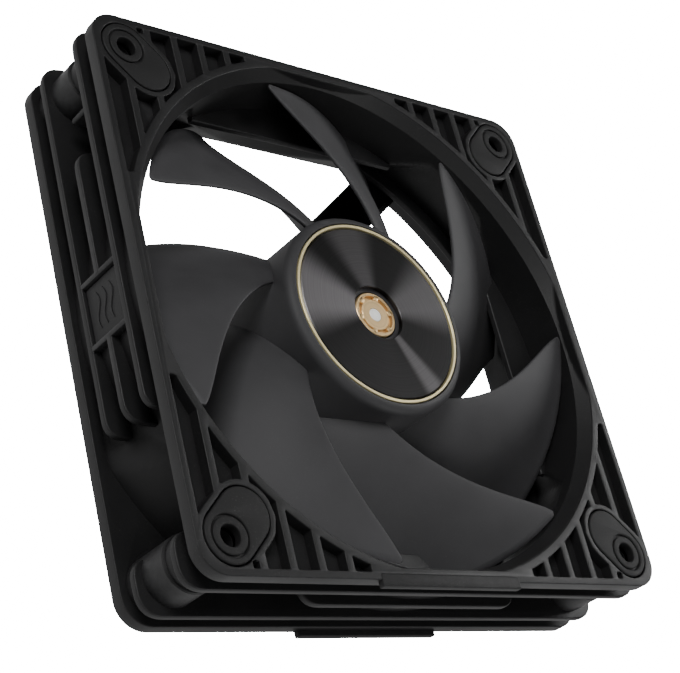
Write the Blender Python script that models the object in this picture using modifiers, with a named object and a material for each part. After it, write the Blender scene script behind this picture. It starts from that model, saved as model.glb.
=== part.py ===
"""A 120 mm computer case fan: finned frame, seven-bladed impeller, motor and bearing.

Metres, +Z up. The fan lies on its outlet side: the origin is on the rotor's axis at the
outlet face, and +Z runs along the axis to the intake side.
"""

import math

import bmesh
import bpy
from mathutils import Matrix

# Fits
GAP = 0.0003  # between two pieces that touch
RUNNING_GAP = 0.00015  # shaft in its sleeve bearing
WELD = 1e-6  # points closer than this are one point
OVERCUT = 0.001  # a cutting tool reaches this far past what it cuts

# Frame
SIDE = 0.120
HEIGHT = 0.028  # over the corner pads, face to face
PAD_PROUD = 0.00015  # the pads stand this far out of the flanges
CORNER_R = 0.006
FLANGE_T = 0.0030
WALL = 0.0014
DUCT_EDGE = 0.0028  # from the frame's side to the inside of the duct
LIP_GROW = 0.0021
LIP_H = 0.0028
OPENING_EDGE = 0.0025  # the round openings are cut off flat this far from the side
FLARE_GROW = 0.0065
FLARE_H = 0.0225
FLARE_DRAFT = 0.52
FLARE_OVERLAP = 0.0005  # the flare's wall runs this far up inside the duct's wall

# Fins round the four sides
FIN_T = 0.0016
FIN_LOW_Z = 0.0075
FIN_HIGH_Z = 0.0206
MID_FIN_HALF = 0.0285
CABLE_NOTCH_Y = (-0.049, -0.025)
BADGE_Y = 0.0067
BADGE_RIB_T = 0.0012
BADGE_RECESS = 0.0007
BADGE_T = 0.0006

# Corners
HOLE_EDGE = 0.0075  # from the frame's side to the screw hole's middle
HOLE_R = 0.00215
BOSS_R = 0.0053
PAD_R = 0.00545
FRONT_PAD_REACH = 0.0041  # how far the pad's inner end is set in, along X and along Y
REAR_PAD_REACH = 0.0019
PAD_T = 0.0020
PAD_RIM = 0.0015
POCKET_DEPTH = 0.0025
POCKET_RIM = 0.0016
POCKET_ARC_GROW = 0.0038
POCKET_END = 0.0217
POCKET_RIB_T = 0.0018
POCKET_RIB_PITCH = 0.00675
POCKET_RIBS = 5
FIRST_RIB_EDGE = 0.0068

# Strips on one long edge of both flanges
STRIP_X = (-0.0196, 0.0168)
STRIP_PROUD = 0.0013
STRIP_T = 0.0016
STRIP_DEPTH = 0.0026

# Outlet side: motor base and struts
BASE_R = 0.0221
BASE_T = 0.0025
BASE_RIM_T = 0.0016
BASE_RIM_Z = 0.0040
STRUT_T = 0.0034
STRUT_LIFT = 0.0002
CABLE_STRUT_ANGLE = 40.7
CABLE_STRUT_W = 0.0104
THIN_STRUT_W = 0.0034
LABEL_RECESS = 0.0006
LABEL_RIM = 0.0038
SOCKET_WALL = 0.0015
SOCKET_TOP_Z = 0.0070
SOCKET_FLOOR_T = 0.0015

# Bearing and shaft
SHAFT_R = 0.0015
SHAFT_TOP_Z = 0.0249
SLEEVE_R = 0.0034
TUBE_WALL = 0.0015
TUBE_TOP_Z = 0.0190
THRUST_T = 0.0010
SEAL_T = 0.0008
SLEEVE_H = 0.0138

# Rotor
HUB_R = 0.0233
HUB_WALL = 0.0017
HUB_BOTTOM_Z = 0.0048
HUB_TOP_Z = 0.0262
HUB_ROUND = 0.0021
HUB_FLOOR_Z = 0.0247
HUB_FLOOR_T = 0.0024
TRIM_R = 0.0209
TRIM_W = 0.0008
TRIM_H = 0.0012
DISC_HOLE_R = 0.0062
DISC_T = 0.0010
YOKE_WALL = 0.0010
YOKE_LIFT = 0.0004
MAGNET_T = 0.0017
MAGNET_Z = (0.0060, 0.0190)
BUSH_R = 0.0052
BUSH_NECK_R = 0.0034
BUSH_TOP_Z = 0.0250
BUSH_NECK_H = 0.0029

# Blades
BLADES = 7
TIP_GAP = 0.0009
BLADE_WRAP = 46.0  # degrees from leading to trailing edge
BLADE_SWEEP = 45.0  # degrees that the tip leads the root by
SWEEP_POWER = 1.45
FIRST_TIP_ANGLE = 1.2
LEAD_ROOT_Z = 0.0210
LEAD_TIP_Z = 0.0263
LEAD_POWER = 0.75
TRAIL_Z = 0.0052
BLADE_CAMBER = 0.0022
BLADE_T = 0.0016
BLADE_EDGE_T = 0.0006
SECTION_START = 0.12  # share of the thickness curve before the leading edge
SECTION_SHARE = 0.80  # share of the thickness curve that the blade covers
DIRECTION_STEP = 0.001  # step along the blade that gives its direction
BLADE_ROOT_SINK = 0.0009
CHORD_STEPS = 7
SPAN_STEPS = 5

# Stator
AIR_GAP = 0.0009
CORE_Z = (0.0086, 0.0154)
CORE_RING_W = 0.0027
POLES = 4
POLE_W = 0.0044
SHOE_T = 0.0020
SHOE_HALF_ANGLE = 36.0
INSULATOR_T = 0.0013
COIL_T = 0.0016
COIL_END_GAP = 0.0010
BOARD_T = 0.0010
BOARD_R = 0.0165
PART_R = 0.0128  # where the parts on the board sit
SENSOR_SIZE = (0.0030, 0.0040, 0.0012)
CHIP_SIZE = (0.0040, 0.0050, 0.0014)
CAPACITOR_R = 0.0018
CAPACITOR_H = 0.0030

# Facets of round shapes
LARGE = 64
MEDIUM = 32
SMALL = 24
TINY = 16

# Angles in degrees
FLAT_ANGLE = 0.05  # faces that meet at less than this are one face
SHARP_ANGLE = 30.0  # edges sharper than this are shaded sharp

# Finishes: colour, roughness, metallic
FINISHES = {
    "frame_plastic": ((0.022, 0.022, 0.023), 0.5, 0.0),
    "blade_plastic": ((0.032, 0.032, 0.035), 0.42, 0.0),
    "pad_rubber": ((0.020, 0.020, 0.021), 0.8, 0.0),
    "motor_steel": ((0.42, 0.42, 0.43), 0.38, 1.0),
    "magnet_black": ((0.04, 0.04, 0.042), 0.6, 0.0),
    "dark_disc": ((0.09, 0.088, 0.095), 0.3, 1.0),
    "gold_trim": ((0.78, 0.68, 0.42), 0.28, 1.0),
    "brass": ((0.74, 0.52, 0.30), 0.25, 1.0),
    "bearing_bronze": ((0.55, 0.36, 0.18), 0.45, 1.0),
    "shaft_steel": ((0.72, 0.72, 0.74), 0.18, 1.0),
    "insulator_nylon": ((0.62, 0.60, 0.55), 0.55, 0.0),
    "coil_copper": ((0.66, 0.30, 0.14), 0.35, 1.0),
    "board_laminate": ((0.03, 0.16, 0.08), 0.45, 0.0),
    "chip_black": ((0.02, 0.02, 0.02), 0.5, 0.0),
    "capacitor_can": ((0.60, 0.60, 0.62), 0.3, 1.0),
    "label_film": ((0.03, 0.03, 0.03), 0.6, 0.0),
}

HALF = SIDE / 2
REAR_Z = PAD_PROUD
FRONT_Z = HEIGHT - PAD_PROUD
HOLE = HALF - HOLE_EDGE
DUCT_R = HALF - DUCT_EDGE
LIP_R = DUCT_R + LIP_GROW
FLARE_R = DUCT_R + FLARE_GROW
OPENING_HALF = HALF - OPENING_EDGE
POCKET_ARC_R = DUCT_R + POCKET_ARC_GROW
FIRST_RIB_X = HALF - FIRST_RIB_EDGE
DUCT_OUT_R = DUCT_R + WALL
TUBE_R = SLEEVE_R + GAP + TUBE_WALL
SOCKET_R = TUBE_R + GAP
SOCKET_FLOOR_Z = REAR_Z + LABEL_RECESS + SOCKET_FLOOR_T
TUBE_BOTTOM_Z = SOCKET_FLOOR_Z + GAP
SHAFT_BOTTOM_Z = TUBE_BOTTOM_Z + THRUST_T + GAP
BASE_TOP_Z = REAR_Z + BASE_T
HUB_IN_R = HUB_R - HUB_WALL
HUB_UNDER_Z = HUB_FLOOR_Z - HUB_FLOOR_T
YOKE_R = HUB_IN_R - GAP
YOKE_IN_R = YOKE_R - YOKE_WALL
YOKE_TOP_Z = HUB_UNDER_Z - GAP
MAGNET_R = YOKE_IN_R - GAP
CORE_R = MAGNET_R - MAGNET_T - AIR_GAP
CORE_RING_R = TUBE_R + GAP + CORE_RING_W
SHOE_IN_R = CORE_R - SHOE_T
BOARD_Z = BASE_TOP_Z + GAP
BLADE_ROOT_R = HUB_R - BLADE_ROOT_SINK
BLADE_TIP_R = DUCT_R - TIP_GAP


def clear_scene():
    for obj in list(bpy.data.objects):
        bpy.data.objects.remove(obj)


def new_collection(name, hidden=False):
    collection = bpy.data.collections.new(name)
    collection.hide_render = hidden
    bpy.context.scene.collection.children.link(collection)
    return collection


def material(name, colour, roughness, metallic):
    made = bpy.data.materials.new(name)
    made.use_nodes = True
    shader = made.node_tree.nodes["Principled BSDF"]
    shader.inputs["Base Color"].default_value = (*colour, 1.0)
    shader.inputs["Roughness"].default_value = roughness
    shader.inputs["Metallic"].default_value = metallic
    made.diffuse_color = (*colour, 1.0)
    return made


class Workshop:
    """Holds the two collections: the fan's own pieces, and the tools that shape them."""

    def __init__(self):
        self.pieces = new_collection("case_fan")
        self.tools = new_collection("cutters", hidden=True)

    def piece(self, obj, finish, parent=None):
        """Turns a shape into one of the fan's pieces."""
        for owner in list(obj.users_collection):
            owner.objects.unlink(obj)
        self.pieces.objects.link(obj)
        obj.hide_render = False
        obj.display_type = "TEXTURED"
        obj.data.materials.clear()
        obj.data.materials.append(finish)
        obj.data.shade_smooth()
        obj.data.set_sharp_from_angle(angle=math.radians(SHARP_ANGLE))
        obj.parent = parent
        return obj

    def tool(self, obj):
        self.tools.objects.link(obj)
        obj.hide_render = True
        obj.display_type = "WIRE"
        return obj


def object_from_bmesh(shop, name, bm):
    bmesh.ops.recalc_face_normals(bm, faces=bm.faces)
    mesh = bpy.data.meshes.new(name)
    bm.to_mesh(mesh)
    bm.free()
    return shop.tool(bpy.data.objects.new(name, mesh))


def box(shop, name, low, high):
    size = [b - a for a, b in zip(low, high)]
    middle = [(a + b) / 2 for a, b in zip(low, high)]
    bm = bmesh.new()
    place = Matrix.Translation(middle) @ Matrix.Diagonal((*size, 1.0))
    bmesh.ops.create_cube(bm, size=1.0, matrix=place)
    return object_from_bmesh(shop, name, bm)


def cylinder(shop, name, radius, low_z, high_z, centre=(0.0, 0.0), facets=SMALL, high_radius=None):
    bm = bmesh.new()
    bmesh.ops.create_cone(
        bm,
        cap_ends=True,
        segments=facets,
        radius1=radius,
        radius2=radius if high_radius is None else high_radius,
        depth=high_z - low_z,
        matrix=Matrix.Translation((*centre, (low_z + high_z) / 2)),
    )
    return object_from_bmesh(shop, name, bm)


def arc(centre, radius, start, end, steps):
    """Points on an arc, in degrees anticlockwise from +X."""
    points = []
    for step in range(steps + 1):
        angle = math.radians(start + (end - start) * step / steps)
        points.append((centre[0] + radius * math.cos(angle), centre[1] + radius * math.sin(angle)))
    return points


def circle(radius, facets, centre=(0.0, 0.0)):
    return arc(centre, radius, 0.0, 360.0, facets)[:-1]


def rounded_box(half_x, half_y, radius, steps=4):
    points = []
    for turn, (sx, sy) in enumerate(((1, 1), (-1, 1), (-1, -1), (1, -1))):
        centre = (sx * (half_x - radius), sy * (half_y - radius))
        points += arc(centre, radius, 90.0 * turn, 90.0 * turn + 90.0, steps)
    return points


def plate(shop, name, outlines, low_z, high_z):
    """A flat solid between two heights; the outlines after the first are holes."""
    curve = bpy.data.curves.new(name, "CURVE")
    curve.dimensions = "2D"
    curve.fill_mode = "BOTH"
    curve.extrude = (high_z - low_z) / 2
    for outline in outlines:
        spline = curve.splines.new("POLY")
        spline.points.add(len(outline) - 1)
        for point, (x, y) in zip(spline.points, outline):
            point.co = (x, y, 0.0, 1.0)
        spline.use_cyclic_u = True
    guide = bpy.data.objects.new(name, curve)
    shop.tools.objects.link(guide)
    bpy.context.view_layer.update()
    evaluated = guide.evaluated_get(bpy.context.evaluated_depsgraph_get())
    mesh = bpy.data.meshes.new_from_object(evaluated)
    bpy.data.objects.remove(guide)
    bm = bmesh.new()
    bm.from_mesh(mesh)
    bmesh.ops.remove_doubles(bm, verts=bm.verts, dist=WELD)
    bmesh.ops.translate(bm, verts=bm.verts, vec=(0.0, 0.0, (low_z + high_z) / 2))
    return object_from_bmesh(shop, name, bm)


def turned(shop, name, profile, facets, ring=True):
    """A solid of revolution. The profile runs (radius, height) down its outer side."""
    mesh = bpy.data.meshes.new(name)
    edges = [(i, i + 1) for i in range(len(profile) - 1)]
    if ring:
        edges.append((len(profile) - 1, 0))
    mesh.from_pydata([(radius, 0.0, height) for radius, height in profile], edges, [])
    obj = shop.tool(bpy.data.objects.new(name, mesh))
    screw = obj.modifiers.new("turn", "SCREW")
    screw.axis = "Z"
    screw.steps = facets
    screw.render_steps = facets
    screw.use_merge_vertices = True
    screw.merge_threshold = WELD
    return baked(obj)


def baked(obj):
    """Applies an object's modifiers, and leaves triangles, which the next cut handles best."""
    bpy.context.view_layer.update()
    evaluated = obj.evaluated_get(bpy.context.evaluated_depsgraph_get())
    mesh = bpy.data.meshes.new_from_object(evaluated)
    bm = bmesh.new()
    bm.from_mesh(mesh)
    bmesh.ops.remove_doubles(bm, verts=bm.verts, dist=WELD)
    bmesh.ops.dissolve_limit(bm, angle_limit=math.radians(FLAT_ANGLE), verts=bm.verts, edges=bm.edges)
    bmesh.ops.triangulate(bm, faces=bm.faces)
    bm.to_mesh(mesh)
    bm.free()
    obj.modifiers.clear()
    obj.data = mesh
    return obj


def combine(target, others, operation):
    for other in others:
        boolean = target.modifiers.new(other.name, "BOOLEAN")
        boolean.operation = operation
        boolean.solver = "EXACT"
        boolean.object = other
    return target


def moved(obj, matrix):
    obj.data.transform(matrix)
    return obj


def turned_to(obj, degrees):
    return moved(obj, Matrix.Rotation(math.radians(degrees), 4, "Z"))


CORNERS = [(sx, sy) for sx in (-1, 1) for sy in (-1, 1)]


def pad_outline(corner, radius, reach, steps=6):
    """A round-ended outline from the screw hole in towards the fan's middle."""
    sx, sy = corner
    outward = math.degrees(math.atan2(sy, sx))
    outer = (sx * HOLE, sy * HOLE)
    inner = (sx * (HOLE - reach), sy * (HOLE - reach))
    points = arc(outer, radius, outward - 90, outward + 90, steps)
    return points + arc(inner, radius, outward + 90, outward + 270, steps)


def flare(shop, name, grow, low_z, high_z):
    """The outlet's widening towards the corners: a cone cut off by four drafted flats."""

    def radius_at(z):
        return FLARE_R + grow - z * (FLARE_R - DUCT_R) / FLARE_H

    def half_at(z):
        return OPENING_HALF + grow - z * FLARE_DRAFT

    cone = cylinder(
        shop, name, radius_at(low_z), low_z, high_z, facets=LARGE, high_radius=radius_at(high_z)
    )
    below = low_z - OVERCUT
    above = high_z + OVERCUT
    pyramid = cylinder(
        shop,
        name + "_flats",
        half_at(below) * math.sqrt(2),
        below,
        above,
        facets=4,
        high_radius=half_at(above) * math.sqrt(2),
    )
    turned_to(pyramid, 45.0)
    return baked(combine(cone, [pyramid], "INTERSECT"))


def side_fins(shop):
    """The low and the high fin all round, and the short middle fins."""
    parts = []
    for name, z in (("low", FIN_LOW_Z), ("high", FIN_HIGH_Z)):
        fin = plate(
            shop, f"fin_{name}", [rounded_box(HALF, HALF, CORNER_R)], z - FIN_T / 2, z + FIN_T / 2
        )
        notch = box(
            shop,
            f"cable_notch_{name}",
            (-SIDE, CABLE_NOTCH_Y[0], z - FIN_T),
            (-DUCT_R / 2, CABLE_NOTCH_Y[1], z + FIN_T),
        )
        parts.append(baked(combine(fin, [notch], "DIFFERENCE")))
    mid = (FIN_LOW_Z + FIN_HIGH_Z) / 2
    low, high = mid - FIN_T / 2, mid + FIN_T / 2
    inner = math.sqrt(DUCT_R**2 - MID_FIN_HALF**2) - OVERCUT
    spans = [
        ("bottom", (-MID_FIN_HALF, -HALF), (MID_FIN_HALF, -inner)),
        ("top", (-MID_FIN_HALF, inner), (MID_FIN_HALF, HALF)),
        ("right", (inner, -MID_FIN_HALF), (HALF, MID_FIN_HALF)),
        ("left_a", (-HALF, CABLE_NOTCH_Y[1]), (-inner, -BADGE_Y)),
        ("left_b", (-HALF, BADGE_Y), (-inner, MID_FIN_HALF)),
    ]
    for name, (x0, y0), (x1, y1) in spans:
        parts.append(box(shop, f"mid_fin_{name}", (x0, y0, low), (x1, y1, high)))
    for name, side in (("a", -1), ("b", 1)):
        y = side * BADGE_Y
        parts.append(
            box(
                shop,
                f"badge_rib_{name}",
                (-HALF, y - BADGE_RIB_T / 2, FIN_LOW_Z),
                (-DUCT_R + WALL, y + BADGE_RIB_T / 2, FIN_HIGH_Z),
            )
        )
    return parts


def corner_pockets(shop):
    """The ribbed pockets in the four corners of the intake flange, as one cutter."""
    edge = HALF - POCKET_RIM
    floor = FRONT_Z - POCKET_DEPTH
    above = FRONT_Z + OVERCUT
    block = box(shop, "corner_pockets", (-edge, -edge, floor), (edge, edge, above))
    keep = [cylinder(shop, "pocket_arc", POCKET_ARC_R, floor - OVERCUT, above + OVERCUT, facets=LARGE)]
    for axis in (0, 1):
        low = [-SIDE, -SIDE, floor - OVERCUT]
        high = [SIDE, SIDE, above + OVERCUT]
        low[axis], high[axis] = -POCKET_END, POCKET_END
        keep.append(box(shop, f"pocket_end_{axis}", low, high))
    for corner in CORNERS:
        outline = pad_outline(corner, PAD_R + PAD_RIM, FRONT_PAD_REACH)
        name = "pad_rim_{}_{}".format(*corner)
        keep.append(plate(shop, name, [outline], floor - OVERCUT, above + OVERCUT))
    for rib in range(POCKET_RIBS):
        for side in (-1, 1):
            x = side * (FIRST_RIB_X - rib * POCKET_RIB_PITCH)
            keep.append(
                box(
                    shop,
                    f"pocket_rib_{rib}_{side}",
                    (x - POCKET_RIB_T / 2, -SIDE, floor - OVERCUT),
                    (x + POCKET_RIB_T / 2, SIDE, above + OVERCUT),
                )
            )
    return baked(combine(block, keep, "DIFFERENCE"))


def struts(shop):
    """The wide strut that carries the cable, and three thin ones, inside the outlet wall."""
    low = REAR_Z + STRUT_LIFT
    top = low + STRUT_T
    reach = FLARE_R + WALL
    limit = cylinder(shop, "strut_limit", DUCT_R + WALL / 2, low - OVERCUT, top + OVERCUT, facets=LARGE)
    ends = flare(shop, "strut_limit_flare", WALL / 2, low - 2 * OVERCUT, top + 2 * OVERCUT)
    limit = combine(limit, [ends], "UNION")
    parts = []
    for turn in range(4):
        width = THIN_STRUT_W if turn else CABLE_STRUT_W
        strut = box(
            shop, f"strut_{turn}", (0.0, BASE_R - width - GAP, low), (reach, BASE_R - GAP, top)
        )
        turned_to(strut, CABLE_STRUT_ANGLE + 90.0 * turn)
        parts.append(strut)
    baked(limit)
    inside = cylinder(
        shop, "inside_base", BASE_R - BASE_RIM_T / 2, low - OVERCUT, top + OVERCUT, facets=MEDIUM
    )
    for strut in parts:
        combine(strut, [limit], "INTERSECT")
        baked(combine(strut, [inside], "DIFFERENCE"))
    return parts


def motor_base(shop):
    """The dish in the middle of the struts, with the socket for the bearing tube."""
    rim_in = BASE_R - BASE_RIM_T
    recess_r = BASE_R - LABEL_RIM
    recess_z = REAR_Z + LABEL_RECESS
    profile = [
        (0.0, SOCKET_FLOOR_Z),
        (SOCKET_R, SOCKET_FLOOR_Z),
        (SOCKET_R, SOCKET_TOP_Z),
        (SOCKET_R + SOCKET_WALL, SOCKET_TOP_Z),
        (SOCKET_R + SOCKET_WALL, BASE_TOP_Z),
        (rim_in, BASE_TOP_Z),
        (rim_in, BASE_RIM_Z),
        (BASE_R, BASE_RIM_Z),
        (BASE_R, REAR_Z),
        (recess_r, REAR_Z),
        (recess_r, recess_z),
        (0.0, recess_z),
    ]
    return turned(shop, "motor_base", profile, MEDIUM, ring=False)


def duct_cutter(shop):
    """The hole through the frame: bore, intake lip, and outlet flare."""
    lip_z = FRONT_Z - LIP_H
    slope = (LIP_R - DUCT_R) / LIP_H
    profile = [
        (0.0, FRONT_Z + OVERCUT),
        (LIP_R + slope * OVERCUT, FRONT_Z + OVERCUT),
        (DUCT_R, lip_z),
        (DUCT_R, -OVERCUT),
        (0.0, -OVERCUT),
    ]
    bore = turned(shop, "duct_bore", profile, LARGE, ring=False)
    flats = box(
        shop,
        "opening_flats",
        (-OPENING_HALF, -OPENING_HALF, -2 * OVERCUT),
        (OPENING_HALF, OPENING_HALF, FRONT_Z + 2 * OVERCUT),
    )
    bore = baked(combine(bore, [flats], "INTERSECT"))
    outlet = flare(shop, "outlet_flare", 0.0, -OVERCUT, FLARE_H + OVERCUT)
    return baked(combine(bore, [outlet], "UNION"))


def pad_seats(shop):
    cutters = []
    for corner in CORNERS:
        label = "{}_{}".format(*corner)
        front = pad_outline(corner, PAD_R + GAP, FRONT_PAD_REACH)
        rear = pad_outline(corner, PAD_R + GAP, REAR_PAD_REACH)
        depth = PAD_T - PAD_PROUD + GAP
        cutters.append(plate(shop, f"front_seat_{label}", [front], FRONT_Z - depth, FRONT_Z + OVERCUT))
        cutters.append(plate(shop, f"rear_seat_{label}", [rear], REAR_Z - OVERCUT, REAR_Z + depth))
        centre = (corner[0] * HOLE, corner[1] * HOLE)
        cutters.append(
            cylinder(shop, f"screw_hole_{label}", HOLE_R, -OVERCUT, HEIGHT + OVERCUT, centre, facets=TINY)
        )
    return cutters


def strip_box(shop, name, front, grow):
    """An edge strip, or with grow its seat in the flange."""
    low_z, high_z = (HEIGHT - STRIP_T, HEIGHT) if front else (0.0, STRIP_T)
    open_up = OVERCUT if grow else 0.0
    low_z -= grow if front else open_up
    high_z += open_up if front else grow
    inner = -HALF + STRIP_DEPTH - STRIP_PROUD
    return box(
        shop,
        name,
        (STRIP_X[0] - grow, -HALF - STRIP_PROUD - open_up, low_z),
        (STRIP_X[1] + grow, inner + grow, high_z),
    )


def frame(shop, finish):
    body = plate(shop, "frame", [rounded_box(HALF, HALF, CORNER_R)], REAR_Z, REAR_Z + FLANGE_T)
    sink = FLANGE_T / 2
    low, high = REAR_Z + sink, FRONT_Z - sink
    outline = rounded_box(HALF, HALF, CORNER_R)
    added = [plate(shop, "front_flange", [outline], FRONT_Z - FLANGE_T, FRONT_Z)]
    added.append(cylinder(shop, "duct_wall", DUCT_OUT_R, low, high, facets=LARGE))
    added.append(flare(shop, "flare_wall", WALL, low, FLARE_H + FLARE_OVERLAP))
    for corner in CORNERS:
        centre = (corner[0] * HOLE, corner[1] * HOLE)
        added.append(cylinder(shop, "boss_{}_{}".format(*corner), BOSS_R, low, high, centre))
    added += side_fins(shop)
    removed = [duct_cutter(shop), corner_pockets(shop)] + pad_seats(shop)
    removed.append(strip_box(shop, "front_strip_seat", True, GAP))
    removed.append(strip_box(shop, "rear_strip_seat", False, GAP))
    baked(combine(body, added, "UNION"))
    baked(combine(body, removed, "DIFFERENCE"))
    baked(combine(body, [motor_base(shop)] + struts(shop), "UNION"))
    return shop.piece(body, finish)


def corner_pads(shop, finish):
    names = {(-1, 1): "1", (1, 1): "2", (1, -1): "3", (-1, -1): "4"}
    for corner, number in names.items():
        hole = circle(HOLE_R, TINY, (corner[0] * HOLE, corner[1] * HOLE))
        front = [pad_outline(corner, PAD_R, FRONT_PAD_REACH), hole]
        rear = [pad_outline(corner, PAD_R, REAR_PAD_REACH), hole]
        shop.piece(plate(shop, f"front_pad_{number}", front, HEIGHT - PAD_T, HEIGHT), finish)
        shop.piece(plate(shop, f"rear_pad_{number}", rear, 0.0, PAD_T), finish)


def edge_strips(shop, finish):
    shop.piece(strip_box(shop, "front_edge_strip", True, 0.0), finish)
    shop.piece(strip_box(shop, "rear_edge_strip", False, 0.0), finish)


def side_badge(shop, finish):
    """The plain plate between two fins and two ribs on one side."""
    side = BADGE_Y - BADGE_RIB_T / 2 - GAP
    outer = -HALF + BADGE_RECESS
    badge = box(
        shop,
        "side_badge",
        (outer, -side, FIN_LOW_Z + FIN_T / 2 + GAP),
        (outer + BADGE_T, side, FIN_HIGH_Z - FIN_T / 2 - GAP),
    )
    shop.piece(badge, finish)


def rear_label(shop, finish):
    radius = BASE_R - LABEL_RIM - GAP
    label = cylinder(shop, "rear_label", radius, REAR_Z, REAR_Z + LABEL_RECESS - GAP, facets=MEDIUM)
    shop.piece(label, finish)


def ring_profile(inner, outer, low, high):
    return [(outer, high), (outer, low), (inner, low), (inner, high)]


def bearing(shop, look):
    tube = ring_profile(SLEEVE_R + GAP, TUBE_R, TUBE_BOTTOM_Z, TUBE_TOP_Z)
    shop.piece(turned(shop, "bearing_tube", tube, SMALL), look["brass"])
    pad = cylinder(shop, "thrust_pad", SLEEVE_R, TUBE_BOTTOM_Z, TUBE_BOTTOM_Z + THRUST_T)
    shop.piece(pad, look["insulator_nylon"])
    low = SHAFT_BOTTOM_Z
    sleeve = ring_profile(SHAFT_R + RUNNING_GAP, SLEEVE_R, low, low + SLEEVE_H)
    shop.piece(turned(shop, "sleeve_bearing", sleeve, SMALL), look["bearing_bronze"])
    low += SLEEVE_H + GAP
    seal = ring_profile(SHAFT_R + GAP, SLEEVE_R, low, low + SEAL_T)
    shop.piece(turned(shop, "oil_seal", seal, SMALL), look["pad_rubber"])


def pole_outline(half_width, shoe):
    """A toothed ring: one arm for each pole, with a curved shoe when asked for."""
    points = []
    root = math.degrees(math.asin(half_width / CORE_RING_R))
    neck = math.degrees(math.asin(half_width / SHOE_IN_R))
    for pole in range(POLES):
        middle = 360.0 / POLES * pole
        following = middle + 360.0 / POLES
        if shoe:
            points += arc((0, 0), SHOE_IN_R, middle - neck, middle - SHOE_HALF_ANGLE, 2)
            points += arc((0, 0), CORE_R, middle - SHOE_HALF_ANGLE, middle + SHOE_HALF_ANGLE, 8)
            points += arc((0, 0), SHOE_IN_R, middle + SHOE_HALF_ANGLE, middle + neck, 2)
        else:
            points += arc((0, 0), SHOE_IN_R, middle - neck, middle + neck, 2)
        points += arc((0, 0), CORE_RING_R, middle + root, following - root, 4)
    return points


def stator(shop, steel, nylon):
    bore = circle(TUBE_R + GAP, SMALL)
    core = plate(shop, "stator_core", [pole_outline(POLE_W / 2, True), bore], *CORE_Z)
    shop.piece(core, steel)
    outline = pole_outline(POLE_W / 2, False)
    low = CORE_Z[0] - GAP
    high = CORE_Z[1] + GAP
    under = plate(shop, "insulator_lower", [outline, bore], low - INSULATOR_T, low)
    shop.piece(under, nylon)
    over = plate(shop, "insulator_upper", [outline, bore], high, high + INSULATOR_T)
    shop.piece(over, nylon)


def coils(shop, copper):
    """One winding round each pole, over the core and both insulators."""
    middle = (CORE_Z[0] + CORE_Z[1]) / 2
    half_y = POLE_W / 2 + GAP
    half_z = (CORE_Z[1] - CORE_Z[0]) / 2 + INSULATOR_T + 2 * GAP
    inner = CORE_RING_R + 2 * GAP
    outer = SHOE_IN_R - COIL_END_GAP
    window = rounded_box(half_z, half_y, GAP, steps=1)
    outside = rounded_box(half_z + COIL_T, half_y + COIL_T, COIL_T, steps=3)
    upright = Matrix.Rotation(math.radians(90), 4, "Y")
    for pole in range(POLES):
        coil = plate(shop, f"stator_coil_{pole + 1}", [outside, window], inner, outer)
        moved(coil, Matrix.Translation((0, 0, middle)) @ upright)
        turned_to(coil, 360.0 / POLES * pole)
        shop.piece(coil, copper)


def driver_board(shop, look):
    hole = circle(SOCKET_R + SOCKET_WALL + GAP, SMALL)
    board = plate(shop, "driver_board", [circle(BOARD_R, MEDIUM), hole], BOARD_Z, BOARD_Z + BOARD_T)
    shop.piece(board, look["board_laminate"])
    seat = BOARD_Z + BOARD_T + GAP
    sizes = {"hall_sensor": SENSOR_SIZE, "driver_chip": CHIP_SIZE}
    for turn, (name, (length, width, height)) in enumerate(sizes.items()):
        low = (PART_R - length / 2, -width / 2, seat)
        high = (PART_R + length / 2, width / 2, seat + height)
        chip = turned_to(box(shop, name, low, high), 45.0 + 90.0 * turn)
        shop.piece(chip, look["chip_black"])
    centre = (-PART_R * math.sqrt(0.5), -PART_R * math.sqrt(0.5))
    high = seat + CAPACITOR_H
    capacitor = cylinder(shop, "smoothing_capacitor", CAPACITOR_R, seat, high, centre, facets=TINY)
    shop.piece(capacitor, look["capacitor_can"])


def hub_profile():
    """The impeller's hub: a cup open towards the outlet, with a rounded shoulder."""
    recess_r = TRIM_R + GAP
    corner = (HUB_R - HUB_ROUND, HUB_TOP_Z - HUB_ROUND)
    shoulder = arc(corner, HUB_ROUND, 90.0, 0.0, 6)
    return (
        [(BUSH_R + GAP, HUB_FLOOR_Z), (recess_r, HUB_FLOOR_Z), (recess_r, HUB_TOP_Z)]
        + (shoulder if corner[0] > recess_r + WELD else shoulder[1:])
        + [
            (HUB_R, HUB_BOTTOM_Z),
            (HUB_IN_R, HUB_BOTTOM_Z),
            (HUB_IN_R, HUB_UNDER_Z),
            (BUSH_R + GAP, HUB_UNDER_Z),
        ]
    )


def blade_point(across, along):
    """A point on the blade's middle surface.

    across runs from 0 at the hub to 1 at the tip, and along from 0 at the leading edge
    to 1 at the trailing edge.
    """
    radius = BLADE_ROOT_R + (BLADE_TIP_R - BLADE_ROOT_R) * across
    lead_angle = -BLADE_SWEEP * (1.0 - across) ** SWEEP_POWER
    lead_z = LEAD_ROOT_Z + (LEAD_TIP_Z - LEAD_ROOT_Z) * across**LEAD_POWER
    angle = math.radians(FIRST_TIP_ANGLE + lead_angle - BLADE_WRAP * along)
    height = lead_z + (TRAIL_Z - lead_z) * along + BLADE_CAMBER * 4.0 * along * (1.0 - along)
    return radius, angle, height


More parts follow.
